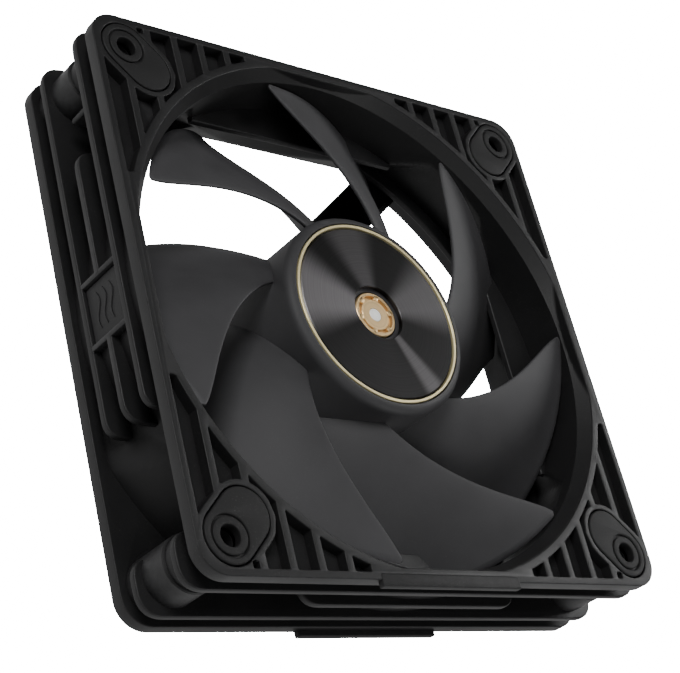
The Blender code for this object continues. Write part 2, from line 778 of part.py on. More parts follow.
def blade_section(across):
    """The closed outline of the blade at one radius, round its two faces."""
    faces = ([], [])
    for step in range(CHORD_STEPS + 1):
        along = 0.5 - 0.5 * math.cos(math.pi * step / CHORD_STEPS)
        radius, angle, height = blade_point(across, along)
        _, angle_on, height_on = blade_point(across, along + DIRECTION_STEP)
        run = radius * (angle_on - angle)
        rise = height_on - height
        length = math.hypot(run, rise)
        full = math.sin(math.pi * min(1.0, along * SECTION_SHARE + SECTION_START))
        half = (BLADE_EDGE_T + (BLADE_T - BLADE_EDGE_T) * full) / 2
        for side, face in ((1, faces[0]), (-1, faces[1])):
            turn = angle + side * half * rise / length / radius
            lift = height - side * half * run / length
            face.append((radius * math.cos(turn), radius * math.sin(turn), lift))
    return faces[0] + faces[1][::-1]


def blade(shop, name):
    """A blade lofted through its sections from hub to tip."""
    bm = bmesh.new()
    rings = []
    for step in range(SPAN_STEPS + 1):
        points = blade_section(step / SPAN_STEPS)
        rings.append([bm.verts.new(point) for point in points])
    count = len(rings[0])
    for inner, outer in zip(rings, rings[1:]):
        for i in range(count):
            j = (i + 1) % count
            bm.faces.new((inner[i], inner[j], outer[j], outer[i]))
    for ring in (rings[0], rings[-1]):
        for i in range(count // 2 - 1):
            j = count - 1 - i
            bm.faces.new((ring[i], ring[i + 1], ring[j - 1], ring[j]))
    return object_from_bmesh(shop, name, bm)


def impeller(shop, finish, axis):
    hub = turned(shop, "impeller", hub_profile(), LARGE)
    blades = []
    for number in range(BLADES):
        one = blade(shop, f"blade_{number + 1}")
        blades.append(turned_to(one, 360.0 / BLADES * number))
    return shop.piece(baked(combine(hub, blades, "UNION")), finish, axis)


def rotor(shop, look, axis):
    yoke_bottom = HUB_BOTTOM_Z + YOKE_LIFT
    yoke = [
        (BUSH_NECK_R + GAP, YOKE_TOP_Z),
        (YOKE_R, YOKE_TOP_Z),
        (YOKE_R, yoke_bottom),
        (YOKE_IN_R, yoke_bottom),
        (YOKE_IN_R, YOKE_TOP_Z - YOKE_WALL),
        (BUSH_NECK_R + GAP, YOKE_TOP_Z - YOKE_WALL),
    ]
    shop.piece(turned(shop, "rotor_yoke", yoke, MEDIUM), look["motor_steel"], axis)
    ring = ring_profile(MAGNET_R - MAGNET_T, MAGNET_R, *MAGNET_Z)
    shop.piece(turned(shop, "rotor_magnet", ring, MEDIUM), look["magnet_black"], axis)
    seat = HUB_FLOOR_Z + GAP
    disc = ring_profile(DISC_HOLE_R, TRIM_R - TRIM_W - GAP, seat, seat + DISC_T)
    shop.piece(turned(shop, "hub_disc", disc, LARGE), look["dark_disc"], axis)
    trim = ring_profile(TRIM_R - TRIM_W, TRIM_R, seat, seat + TRIM_H)
    shop.piece(turned(shop, "hub_trim_ring", trim, LARGE), look["gold_trim"], axis)
    bush_seat = YOKE_TOP_Z + GAP
    bush = [
        (SHAFT_R + GAP, BUSH_TOP_Z),
        (BUSH_R, BUSH_TOP_Z),
        (BUSH_R, bush_seat),
        (BUSH_NECK_R, bush_seat),
        (BUSH_NECK_R, bush_seat - BUSH_NECK_H),
        (SHAFT_R + GAP, bush_seat - BUSH_NECK_H),
    ]
    shop.piece(turned(shop, "shaft_bush", bush, SMALL), look["brass"], axis)
    shaft = cylinder(shop, "rotor_shaft", SHAFT_R, SHAFT_BOTTOM_Z, SHAFT_TOP_Z)
    shop.piece(shaft, look["shaft_steel"], axis)


def main():
    clear_scene()
    shop = Workshop()
    look = {name: material(name, *values) for name, values in FINISHES.items()}

    frame(shop, look["frame_plastic"])
    corner_pads(shop, look["pad_rubber"])
    edge_strips(shop, look["pad_rubber"])
    side_badge(shop, look["frame_plastic"])
    rear_label(shop, look["label_film"])
    bearing(shop, look)
    stator(shop, look["motor_steel"], look["insulator_nylon"])
    coils(shop, look["coil_copper"])
    driver_board(shop, look)

    axis = bpy.data.objects.new("rotor_axis", None)
    shop.pieces.objects.link(axis)
    impeller(shop, look["blade_plastic"], axis)
    rotor(shop, look, axis)


main()
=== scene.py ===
"""Looks of a 120 mm case fan, built round its packed solids."""

import math

import bmesh
import bpy
from mathutils import Matrix, Vector


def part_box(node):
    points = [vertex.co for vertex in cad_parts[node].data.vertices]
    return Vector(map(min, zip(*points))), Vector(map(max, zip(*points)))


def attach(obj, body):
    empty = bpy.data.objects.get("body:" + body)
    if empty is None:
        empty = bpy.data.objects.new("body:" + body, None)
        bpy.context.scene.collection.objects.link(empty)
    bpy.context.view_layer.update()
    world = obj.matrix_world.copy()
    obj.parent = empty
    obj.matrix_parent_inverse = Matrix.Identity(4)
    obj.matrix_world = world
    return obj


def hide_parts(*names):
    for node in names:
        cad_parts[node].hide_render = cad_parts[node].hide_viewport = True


bl_info = {
    "name": "Case fan looks",
    "version": (1, 0, 0),
    "blender": (4, 5, 0),
    "location": "3D View > Sidebar > Case Fan",
    "description": "Detailed visible pieces and finishes for a 120 mm case fan",
    "category": "Object",
}

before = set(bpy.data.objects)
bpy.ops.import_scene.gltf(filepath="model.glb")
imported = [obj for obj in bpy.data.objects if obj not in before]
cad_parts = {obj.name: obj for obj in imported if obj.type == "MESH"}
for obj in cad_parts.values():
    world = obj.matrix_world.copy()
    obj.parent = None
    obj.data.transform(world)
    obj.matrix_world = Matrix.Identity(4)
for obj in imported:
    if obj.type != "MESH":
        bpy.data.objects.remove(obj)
FRAME_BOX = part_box("frame")
HUB_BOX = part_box("hub_trim_ring")
DISC_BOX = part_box("hub_disc")
BUSH_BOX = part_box("shaft_bush")
SHAFT_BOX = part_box("rotor_shaft")
PAD_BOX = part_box("front_pad_2")
LABEL_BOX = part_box("rear_label")
BADGE_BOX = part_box("side_badge")

HALF = FRAME_BOX[1].x
FRONT_Z = FRAME_BOX[1].z
REAR_Z = FRAME_BOX[0].z
WELD = 1e-6
# The usual rounding of a small edge, and the usual slack between pieces.
ROUND = 0.0003
FINISH = "_finish"


# ---------------------------------------------------------------- outlines


def arc(centre, radius, start, end, steps):
    """Points on an arc, in degrees anticlockwise from +X."""
    points = []
    for step in range(steps + 1):
        angle = math.radians(start + (end - start) * step / steps)
        points.append((centre[0] + radius * math.cos(angle), centre[1] + radius * math.sin(angle)))
    return points


def circle(radius, facets, centre=(0.0, 0.0)):
    return arc(centre, radius, 0.0, 360.0, facets)[:-1]


def softened(points, radii, steps=5):
    """The outline with each corner rounded to its own radius. Radius 0 keeps a corner."""
    if not hasattr(radii, "__len__"):
        radii = [radii] * len(points)
    out = []
    count = len(points)
    for i, (point, radius) in enumerate(zip(points, radii)):
        here = Vector(point)
        before = Vector(points[i - 1]) - here
        after = Vector(points[(i + 1) % count]) - here
        bend = math.pi - before.angle(after, math.pi)
        if radius <= 0.0 or bend < math.radians(18):
            out.append(tuple(here))
            continue
        cut = min(radius * math.tan(bend / 2), 0.48 * before.length, 0.48 * after.length)
        first = here + before.normalized() * cut
        last = here + after.normalized() * cut
        for step in range(steps + 1):
            t = step / steps
            spot = first * (1 - t) ** 2 + here * 2 * t * (1 - t) + last * t * t
            out.append(tuple(spot))
    return out


def stadium(corner, radius, hole, reach, steps=16):
    """A round-ended outline from the screw hole in towards the fan's middle."""
    sx, sy = corner
    outward = math.degrees(math.atan2(sy, sx))
    outer = (sx * hole, sy * hole)
    inner = (sx * (hole - reach), sy * (hole - reach))
    points = arc(outer, radius, outward - 90, outward + 90, steps)
    return points + arc(inner, radius, outward + 90, outward + 270, steps)


def turned_outline(points, degrees):
    c, s = math.cos(math.radians(degrees)), math.sin(math.radians(degrees))
    return [(x * c - y * s, x * s + y * c) for x, y in points]


# ---------------------------------------------------------------- meshes


def plate(outlines, low, high, bevel=0.0, steps=3):
    """A bmesh of a flat plate with rounded rims. Outlines after the first are holes."""
    curve = bpy.data.curves.new("outline", "CURVE")
    curve.dimensions = "2D"
    curve.fill_mode = "BOTH"
    curve.extrude = (high - low) / 2 - bevel
    curve.bevel_depth = bevel
    curve.bevel_resolution = steps
    curve.offset = -bevel
    for outline in outlines:
        spline = curve.splines.new("POLY")
        spline.points.add(len(outline) - 1)
        for point, (x, y) in zip(spline.points, outline):
            point.co = (x, y, 0.0, 1.0)
        spline.use_cyclic_u = True
    guide = bpy.data.objects.new("outline", curve)
    bpy.context.scene.collection.objects.link(guide)
    bpy.context.view_layer.update()
    mesh = bpy.data.meshes.new_from_object(
        guide.evaluated_get(bpy.context.evaluated_depsgraph_get())
    )
    bpy.data.objects.remove(guide)
    bpy.data.curves.remove(curve)
    bm = bmesh.new()
    bm.from_mesh(mesh)
    bpy.data.meshes.remove(mesh)
    bmesh.ops.remove_doubles(bm, verts=bm.verts, dist=WELD)
    bmesh.ops.dissolve_degenerate(bm, dist=WELD, edges=bm.edges)
    bmesh.ops.translate(bm, verts=bm.verts, vec=(0.0, 0.0, (low + high) / 2))
    bmesh.ops.recalc_face_normals(bm, faces=bm.faces)
    return bm


def turned(profile, facets, closed=True):
    """A bmesh turned about the Z axis from (radius, height) points."""
    bm = bmesh.new()
    ring = [bm.verts.new((radius, 0.0, height)) for radius, height in profile]
    edges = [bm.edges.new(pair) for pair in zip(ring, ring[1:])]
    if closed:
        edges.append(bm.edges.new((ring[-1], ring[0])))
    bmesh.ops.spin(
        bm,
        geom=ring + edges,
        axis=(0, 0, 1),
        cent=(0, 0, 0),
        angle=math.tau,
        steps=facets,
        use_merge=True,
    )
    bmesh.ops.remove_doubles(bm, verts=bm.verts, dist=WELD)
    bmesh.ops.recalc_face_normals(bm, faces=bm.faces)
    return bm


def block(low, high, bevel, segments=2):
    """A bmesh of a box with rounded edges."""
    size = [b - a for a, b in zip(low, high)]
    middle = [(a + b) / 2 for a, b in zip(low, high)]
    bm = bmesh.new()
    bmesh.ops.create_cube(
        bm, size=1.0, matrix=Matrix.Translation(middle) @ Matrix.Diagonal((*size, 1.0))
    )
    bmesh.ops.bevel(
        bm,
        geom=bm.edges[:],
        offset=bevel,
        offset_type="OFFSET",
        segments=segments,
        profile=0.5,
        affect="EDGES",
        material=-1,
    )
    return bm


def wrapped(across, around, place):
    """A bmesh grid sent through place(u, v), which closes on itself where its ends meet."""
    bm = bmesh.new()
    bmesh.ops.create_grid(bm, x_segments=across, y_segments=around, size=0.5)
    for vert in bm.verts:
        vert.co = place(vert.co.x + 0.5, vert.co.y + 0.5)
    bmesh.ops.remove_doubles(bm, verts=bm.verts, dist=WELD)
    bmesh.ops.dissolve_degenerate(bm, dist=WELD, edges=bm.edges)
    bmesh.ops.recalc_face_normals(bm, faces=bm.faces)
    return bm


def turned_copy(bm, degrees):
    out = bm.copy()
    bmesh.ops.rotate(
        out, verts=out.verts, cent=(0, 0, 0), matrix=Matrix.Rotation(math.radians(degrees), 3, "Z")
    )
    return out


def moved(bm, matrix):
    bmesh.ops.transform(bm, matrix=matrix, verts=bm.verts)
    return bm


def joined(parts):
    """One bmesh that holds all the given ones."""
    whole = bmesh.new()
    for part in parts:
        mesh = bpy.data.meshes.new("part")
        part.to_mesh(mesh)
        part.free()
        whole.from_mesh(mesh)
        bpy.data.meshes.remove(mesh)
    return whole


def finished(name, bm, body, slot, replaces, crease=30.0):
    """Makes the object, smooth but for edges sharper than crease, and ties it to its body."""
    mesh = bpy.data.meshes.new(name)
    bm.to_mesh(mesh)
    bm.free()
    obj = bpy.data.objects.new(name, mesh)
    bpy.context.scene.collection.objects.link(obj)
    mesh.shade_smooth()
    mesh.set_sharp_from_angle(angle=math.radians(crease))
    mesh.materials.append(finish(slot))
    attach(obj, body)
    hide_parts(*replaces)


def frame_piece(name, bm, crease=30.0):
    """A piece of the one-piece frame moulding."""
    finished(name, bm, "stator", "frame_plastic", ["frame"], crease)


# ---------------------------------------------------------------- node helpers


def new_group(name, inputs, outputs):
    """An empty shader node group with the given (name, socket type, default) inputs."""
    group = bpy.data.node_groups.new(name, "ShaderNodeTree")
    for label, kind, default in inputs:
        socket = group.interface.new_socket(label, in_out="INPUT", socket_type=kind)
        socket.default_value = default
    for label, kind in outputs:
        group.interface.new_socket(label, in_out="OUTPUT", socket_type=kind)
    start = group.nodes.new("NodeGroupInput")
    end = group.nodes.new("NodeGroupOutput")
    return group, start, end


def node(tree, kind, links=(), **settings):
    """Adds a node, sets its properties, and feeds its inputs from (socket, source) pairs."""
    made = tree.nodes.new(kind)
    for key, value in settings.items():
        setattr(made, key, value)
    for key, value in links:
        if isinstance(value, bpy.types.NodeSocket):
            tree.links.new(value, made.inputs[key])
        else:
            made.inputs[key].default_value = value
    return made


def math_node(tree, operation, first, second=None, third=None, clamp=False):
    pairs = [(i, v) for i, v in enumerate((first, second, third)) if v is not None]
    return node(tree, "ShaderNodeMath", pairs, operation=operation, use_clamp=clamp).outputs[0]


def remap(tree, value, low, high, to_low=0.0, to_high=1.0, **settings):
    pairs = [("Value", value), ("From Min", low), ("From Max", high)]
    pairs += [("To Min", to_low), ("To Max", to_high)]
    return node(tree, "ShaderNodeMapRange", pairs, clamp=True, **settings).outputs["Result"]


def noise(tree, spot, scale, detail, roughness=0.5):
    pairs = [("Vector", spot), ("Scale", scale), ("Detail", detail), ("Roughness", roughness)]
    return node(tree, "ShaderNodeTexNoise", pairs).outputs[0]


def line_noise(tree, along, scale, detail):
    pairs = [("W", along), ("Scale", scale), ("Detail", detail)]
    return node(tree, "ShaderNodeTexNoise", pairs, noise_dimensions="1D").outputs[0]


def object_spot(tree):
    return node(tree, "ShaderNodeTexCoord").outputs["Object"]


def bumped(tree, shader, strength, depth, height):
    """Feeds a height to the shader as small relief."""
    pairs = [("Strength", strength), ("Distance", depth), ("Height", height)]
    bump = node(tree, "ShaderNodeBump", pairs)
    tree.links.new(bump.outputs[0], shader.inputs["Normal"])


def moulded_grain():
    """Fine spark-eroded texture of a moulded surface, with slow cloudiness under it."""
    group, start, end = new_group(
        "moulded_grain",
        [("Grain size", "NodeSocketFloat", 5200.0), ("Cloud size", "NodeSocketFloat", 90.0)],
        [("Height", "NodeSocketFloat"), ("Cloud", "NodeSocketFloat")],
    )
    spot = object_spot(group)
    fine = noise(group, spot, start.outputs[0], 2.0, 0.6)
    pits = node(
        group,
        "ShaderNodeTexVoronoi",
        [("Vector", spot), ("Scale", start.outputs[0]), ("Randomness", 1.0)],
        feature="SMOOTH_F1",
    )
    mixed = math_node(group, "MULTIPLY_ADD", pits.outputs["Distance"], 0.6, fine)
    cloud = noise(group, spot, start.outputs[1], 4.0, 0.55)
    group.links.new(mixed, end.inputs[0])
    group.links.new(remap(group, cloud, 0.3, 0.7), end.inputs[1])
    return group


def edge_wear():
    """A mask that is 1 on outer edges, broken up so that wear isn't even."""
    group, start, end = new_group(
        "edge_wear",
        [("Sharpness", "NodeSocketFloat", 0.53), ("Break up", "NodeSocketFloat", 700.0)],
        [("Mask", "NodeSocketFloat")],
    )
    geometry = node(group, "ShaderNodeNewGeometry")
    spot = object_spot(group)
    speckle = noise(group, spot, start.outputs[1], 3.0, 0.6)
    high = math_node(group, "ADD", start.outputs[0], 0.06)
    edge = remap(group, geometry.outputs["Pointiness"], start.outputs[0], high)
    broken = remap(group, speckle, 0.35, 0.65, 0.35, 1.0)
    group.links.new(math_node(group, "MULTIPLY", edge, broken), end.inputs[0])
    return group


def fine_dust():
    """A thin mask of dust specks that gather in slow patches."""
    group, start, end = new_group(
        "fine_dust",
        [("Amount", "NodeSocketFloat", 0.3), ("Speck size", "NodeSocketFloat", 2600.0)],
        [("Mask", "NodeSocketFloat")],
    )
    spot = object_spot(group)
    dots = remap(group, noise(group, spot, start.outputs[1], 2.0, 0.7), 0.6, 0.78)
    slow = remap(group, noise(group, spot, 60.0, 3.0, 0.6), 0.4, 0.65)
    mask = math_node(group, "MULTIPLY", dots, slow)
    group.links.new(math_node(group, "MULTIPLY", mask, start.outputs[0]), end.inputs[0])
    return group


def turning_marks():
    """Concentric tool marks round the Z axis, as left by a lathe."""
    group, start, end = new_group(
        "turning_marks",
        [("Marks per metre", "NodeSocketFloat", 9000.0)],
        [("Height", "NodeSocketFloat"), ("Shade", "NodeSocketFloat")],
    )
    spot = object_spot(group)
    split = node(group, "ShaderNodeSeparateXYZ", [(0, spot)])
    square = math_node(group, "MULTIPLY", split.outputs[0], split.outputs[0])
    both = math_node(group, "MULTIPLY_ADD", split.outputs[1], split.outputs[1], square)
    radius = math_node(group, "SQRT", both)
    scaled = math_node(group, "MULTIPLY", radius, start.outputs[0])
    group.links.new(line_noise(group, scaled, 1.0, 3.0), end.inputs[0])
    wide = line_noise(group, scaled, 0.11, 2.0)
    group.links.new(remap(group, wide, 0.3, 0.7), end.inputs[1])
    return group


def shared_group(name):
    """The shared node group of that name, made when it is first asked for."""
    makers = {
        "moulded_grain": moulded_grain,
        "edge_wear": edge_wear,
        "fine_dust": fine_dust,
        "turning_marks": turning_marks,
        "painted_sheen_rays": painted_sheen_rays,
    }
    return bpy.data.node_groups.get(name) or makers[name]()


def finish(name):
    """The finish made for a material slot."""
    return bpy.data.materials[name + FINISH]


def placed_group(tree, name, **values):
    made = tree.nodes.new("ShaderNodeGroup")
    made.node_tree = shared_group(name)
    for key, value in values.items():
        made.inputs[key.replace("_", " ")].default_value = value
    return made


def blank_material(name, roughness, metallic=0.0, **constants):
    """A new material. The packed solids already hold one under each slot's own name."""
    made = bpy.data.materials.new(name + FINISH)
    made.use_nodes = True
    shader = made.node_tree.nodes["Principled BSDF"]
    shader.inputs["Roughness"].default_value = roughness
    shader.inputs["Metallic"].default_value = metallic
    for key, value in constants.items():
        shader.inputs[key.replace("_", " ")].default_value = value
    return made, made.node_tree, shader


def mixed_colour(tree, factor, first, second):
    made = tree.nodes.new("ShaderNodeMix")
    made.data_type = "RGBA"
    tree.links.new(factor, made.inputs["Factor"])
    for socket, value in ((6, first), (7, second)):
        if isinstance(value, bpy.types.NodeSocket):
            tree.links.new(value, made.inputs[socket])
        else:
            made.inputs[socket].default_value = (*value, 1.0)
    return made.outputs[2]


def scaled_colour(colour, factor):
    return tuple(min(1.0, c * factor) for c in colour[:3])


def plastic(name, colour, roughness, grain_size, grain_depth, wear, dust, **constants):
    """Moulded plastic or rubber: grain, cloudy gloss, paler edges and a trace of dust."""
    made, tree, shader = blank_material(name, roughness, **constants)
    grain = placed_group(tree, "moulded_grain", Grain_size=grain_size)
    worn = placed_group(tree, "edge_wear")
    dusty = placed_group(tree, "fine_dust", Amount=dust)
    base = mixed_colour(
        tree, grain.outputs["Cloud"], scaled_colour(colour, 0.9), scaled_colour(colour, 1.12)
    )
    edge = math_node(tree, "MULTIPLY", worn.outputs[0], wear)
    edged = mixed_colour(tree, edge, base, scaled_colour(colour, 3.2))
    dusted = mixed_colour(tree, dusty.outputs[0], edged, (0.32, 0.31, 0.30))
    tree.links.new(dusted, shader.inputs["Base Color"])
    rough = remap(tree, grain.outputs["Cloud"], 0.0, 1.0, roughness - 0.04, roughness + 0.05)
    rough = math_node(tree, "MULTIPLY_ADD", edge, -0.1, rough, clamp=True)
    tree.links.new(rough, shader.inputs["Roughness"])
    bumped(tree, shader, 0.35, grain_depth, grain.outputs["Height"])
    made.diffuse_color = (*colour[:3], 1.0)


def metal(name, colour, roughness, marks, depth, spread=1.0, **constants):
    """Lathe-turned metal: concentric marks that change the colour and roughness a little."""
    made, tree, shader = blank_material(name, roughness, spread, **constants)
    turned_marks = placed_group(tree, "turning_marks", Marks_per_metre=marks)
    base = mixed_colour(
        tree,
        turned_marks.outputs["Shade"],
        scaled_colour(colour, 0.84),
        scaled_colour(colour, 1.12),
    )
    dusty = placed_group(tree, "fine_dust", Amount=0.12)
    dusted = mixed_colour(tree, dusty.outputs[0], base, (0.4, 0.39, 0.37))
    tree.links.new(dusted, shader.inputs["Base Color"])
    rough = remap(tree, turned_marks.outputs["Height"], 0.3, 0.7, roughness * 0.8, roughness * 1.25)
    tree.links.new(rough, shader.inputs["Roughness"])
    bumped(tree, shader, 0.25, depth, turned_marks.outputs["Height"])
    made.diffuse_color = (*colour[:3], 1.0)


def painted_sheen_rays():
    """A mask of soft rays out from the Z axis, for painted highlight rays like those a finely
    turned face throws back.
    """
    group, start, end = new_group(
        "painted_sheen_rays",
        [("First ray", "NodeSocketFloat", 0.0), ("Half width", "NodeSocketFloat", 20.0)],
        [("Mask", "NodeSocketFloat")],
    )
    spot = object_spot(group)
    split = node(group, "ShaderNodeSeparateXYZ", [(0, spot)])
    turn = math_node(group, "ARCTAN2", split.outputs[1], split.outputs[0])
    degrees = math_node(group, "MULTIPLY", turn, 180.0 / math.pi)
    off = math_node(group, "SUBTRACT", degrees, start.outputs[0])
    off = math_node(group, "WRAP", off, 180.0, -180.0)
    share_of = math_node(group, "DIVIDE", math_node(group, "ABSOLUTE", off), start.outputs[1])
    ray = remap(group, share_of, 1.0, 0.25, interpolation_type="SMOOTHSTEP")
    group.links.new(ray, end.inputs[0])
    return group


# Painted highlight rays on the turned disc, standing in for the light its fine turning throws back:
# middle and half width in degrees, and strength.
PAINTED_RAYS = (
    (20.0, 34.0, 0.48),
    (171.0, 37.0, 0.9),
    (101.0, 26.0, 0.34),
    (-58.0, 12.0, 0.42),
    (-112.0, 60.0, 0.04),
)


def disc_with_painted_sheen(name, colour, roughness):
    """A dark disc with painted highlight rays in its base colour, standing in for the light that
    its fine concentric turning throws back.
    """
    made, tree, shader = blank_material(name, roughness, 0.75, Specular_IOR_Level=0.3)
    marks = placed_group(tree, "turning_marks", Marks_per_metre=26000.0)
    # Painted highlight: the sum of the rays lifts the disc from its dark colour to its full colour.
    painted_sheen = None
    for first, half, power in PAINTED_RAYS:
        ray = placed_group(tree, "painted_sheen_rays", First_ray=first, Half_width=half)
        painted_sheen = math_node(tree, "MULTIPLY_ADD", ray.outputs[0], power, painted_sheen or 0.0, clamp=True)
    dark = mixed_colour(
        tree, marks.outputs["Shade"], scaled_colour(colour, 0.03), scaled_colour(colour, 0.05)
    )
    # The disc's colour in the middle of its painted highlight rays.
    light = mixed_colour(
        tree, marks.outputs["Shade"], scaled_colour(colour, 0.92), scaled_colour(colour, 1.06)
    )
    tree.links.new(mixed_colour(tree, painted_sheen, dark, light), shader.inputs["Base Color"])
    rough = remap(tree, marks.outputs["Height"], 0.3, 0.7, roughness * 0.85, roughness * 1.2)
    tree.links.new(rough, shader.inputs["Roughness"])
    bumped(tree, shader, 0.2, 0.000004, marks.outputs["Height"])
    made.diffuse_color = (*colour[:3], 1.0)


def banded(name, colour, roughness, metallic, shade, relief, direction, *wave):
    """Metal in fine bands. wave is their scale, distortion and detail."""
    _, tree, shader = blank_material(name, roughness, metallic)
    pairs = [("Vector", object_spot(tree)), *zip(("Scale", "Distortion", "Detail"), wave)]
    bands = node(tree, "ShaderNodeTexWave", pairs, bands_direction=direction).outputs[1]
    base = mixed_colour(tree, bands, scaled_colour(colour, shade), colour)
    tree.links.new(base, shader.inputs["Base Color"])
    bumped(tree, shader, relief, 0.0001, bands)


# ---------------------------------------------------------------- settings


def length_prop(name, description, default):
    return bpy.props.FloatProperty(
        name=name, description=description, default=default, min=0.0, precision=5,
        subtype="DISTANCE", unit="LENGTH",
    )


def colour_prop(name, description, default):
    return bpy.props.FloatVectorProperty(
        name=name, description=description, default=default, size=3, min=0.0, max=1.0,
        subtype="COLOR",
    )


def angle_prop(name, description, degrees):
    return bpy.props.FloatProperty(
        name=name, description=description, default=math.radians(degrees),
        subtype="ANGLE", unit="ROTATION",
    )


def share_prop(name, description, default):
    return bpy.props.FloatProperty(
        name=name, description=description, default=default, min=0.0, max=1.0, subtype="FACTOR"
    )


class FanFrameSizes(bpy.types.PropertyGroup):
    """Sizes of the square frame and its duct."""

    flange: length_prop("Flange thickness", "Thickness of the two square flanges", 0.003)
    corner: length_prop("Corner radius", "Outer corner radius of the flanges", 0.006)
    edge: length_prop("Edge radius", "Rounding of the moulded edges", 0.00022)
    seam: length_prop("Seam", "How far the flanges stand back from the duct's inner face", 0.00004)
    wall: length_prop("Duct wall", "Thickness of the duct wall", 0.0014)
    duct: length_prop("Duct radius", "Inner radius of the duct", 0.0572)
    lip: length_prop("Lip radius", "Radius of the opening on the intake side", 0.0593)
    lip_depth: length_prop("Lip depth", "Height of the cone inside the lip", 0.0028)
    opening: length_prop("Opening half width", "Half distance between the opening's flats", 0.0575)
    flare: length_prop("Flare radius", "Radius of the outlet's corners", 0.0637)
    flare_depth: length_prop("Flare depth", "Height over which the outlet widens", 0.0225)
    flare_draft: share_prop("Flare draft", "Slope of the outlet's four flats", 0.52)
    hole_pitch: length_prop("Hole pitch", "Distance between screw holes", 0.105)
    hole: length_prop("Hole radius", "Radius of the screw holes", 0.00215)
    boss: length_prop("Boss radius", "Radius of the screw posts", 0.0053)
    fin: length_prop("Fin thickness", "Thickness of the fins round the sides", 0.0016)
    fin_low: length_prop("Low fin", "Height of the lower fin's middle", 0.0075)
    fin_high: length_prop("High fin", "Height of the upper fin's middle", 0.0206)
    pocket_depth: length_prop("Pocket depth", "Depth of the ribbed corner pockets", 0.0025)
    pocket_rib: length_prop("Pocket rib", "Thickness of the ribs in the corner pockets", 0.0017)
    pocket_pitch: length_prop("Pocket rib pitch", "Distance between those ribs", 0.0067)
    pad: length_prop("Pad radius", "Half width of the corner pads", 0.00545)
    pad_reach: length_prop("Pad reach", "How far a front pad runs in from its hole", 0.0041)
    rear_reach: length_prop("Rear pad reach", "How far a rear pad runs in from its hole", 0.0019)
    cable: angle_prop("Cable strut", "Direction of the wide strut that holds the cable", 40.7)
    base: length_prop("Motor base radius", "Radius of the dish that holds the motor", 0.0221)


class FanRotorSizes(bpy.types.PropertyGroup):
    """Sizes of the impeller and its trim."""

    hub: length_prop("Hub radius", "Outer radius of the hub", 0.0233)
    shoulder: length_prop("Hub rounding", "Rounding of the hub's shoulder", 0.0021)
    tip_gap: length_prop("Tip gap", "Gap between the blades and the duct", 0.0005)
    blade: length_prop("Blade thickness", "Greatest thickness of a blade", 0.0019)
    blade_edge: length_prop("Blade edge", "Thickness near a blade's edges", 0.0012)
    wrap: angle_prop("Blade wrap", "Angle that each blade covers", 46.75)
    sweep: angle_prop("Blade sweep", "How far the root trails the tip", 45.0)
    first: angle_prop("First blade", "Angle of the first blade's tip", 1.95)
    blades: bpy.props.IntProperty(
        name="Blades", description="Number of blades", default=7, min=3, max=13
    )
    lead_root: length_prop("Leading root", "Height of the leading edge at the hub", 0.0206)
    lead_tip: length_prop("Leading tip", "Height of the leading edge at the tip", 0.0253)
    trail: length_prop("Trailing edge", "Height of the trailing edge", 0.0052)
    camber: length_prop("Camber", "Rise of the blade between its edges", 0.0022)
    trim: length_prop("Trim ring radius", "Outer radius of the trim ring", 0.0209)


class FanFinishes(bpy.types.PropertyGroup):
    """Colours and gloss."""

    frame: colour_prop("Frame plastic", "Matt black frame", (0.0110, 0.0109, 0.0113))
    blades: colour_prop("Blade plastic", "Dark grey blades", (0.0400, 0.0395, 0.0415))
    rubber: colour_prop("Pad rubber", "Corner pads and edge strips", (0.0100, 0.0099, 0.0101))
    # Full colour of the disc's painted highlight rays; away from them the disc is drawn at a few
    # hundredths of it.
    disc: colour_prop("Hub disc", "Dark turned disc", (0.190, 0.182, 0.188))
    gold: colour_prop("Trim gold", "Pale gold trim ring", (0.86, 0.75, 0.42))
    brass: colour_prop("Brass", "Bush in the middle of the hub", (0.80, 0.57, 0.29))
    steel: colour_prop("Shaft steel", "End of the shaft", (0.92, 0.90, 0.86))
    frame_gloss: share_prop("Frame roughness", "Roughness of the frame", 0.5)
    blade_gloss: share_prop("Blade roughness", "Roughness of the blades", 0.58)


class FanStage(bpy.types.PropertyGroup):
    """Camera, lights and floor."""

    lens: bpy.props.FloatProperty(
        name="Lens", description="Focal length in millimetres", default=87.513
    )
    camera: bpy.props.FloatVectorProperty(
        name="Camera place", description="Where the camera stands", subtype="TRANSLATION",
        unit="LENGTH", default=(-0.22426, -0.14709, 0.23854),
    )
    azimuth: angle_prop("Camera azimuth", "Direction it looks along", 33.451)
    tilt: angle_prop("Camera tilt", "How far it looks down", 39.981)
    roll: angle_prop("Camera roll", "How far it leans", 52.55)
    floor: colour_prop("Floor", "Pale floor", (0.93, 0.93, 0.93))
    floor_glow: bpy.props.FloatProperty(
        name="Floor glow", description="Brightness of the floor and the room behind", default=30.0
    )
    bounce: share_prop("Bounce", "Share of the floor's glow that lights the fan", 0.018)
    floor_bounce: share_prop("Floor bounce", "Share of the lamps' light that it sends back", 0.5)
    room_light: bpy.props.FloatProperty(
        name="Room light", description="Strength of the even light from all round", default=0.05
    )


SETTINGS = {
    "fan_frame": FanFrameSizes,
    "fan_rotor": FanRotorSizes,
    "fan_finish": FanFinishes,
    "fan_stage": FanStage,
}


# ---------------------------------------------------------------- duct shape


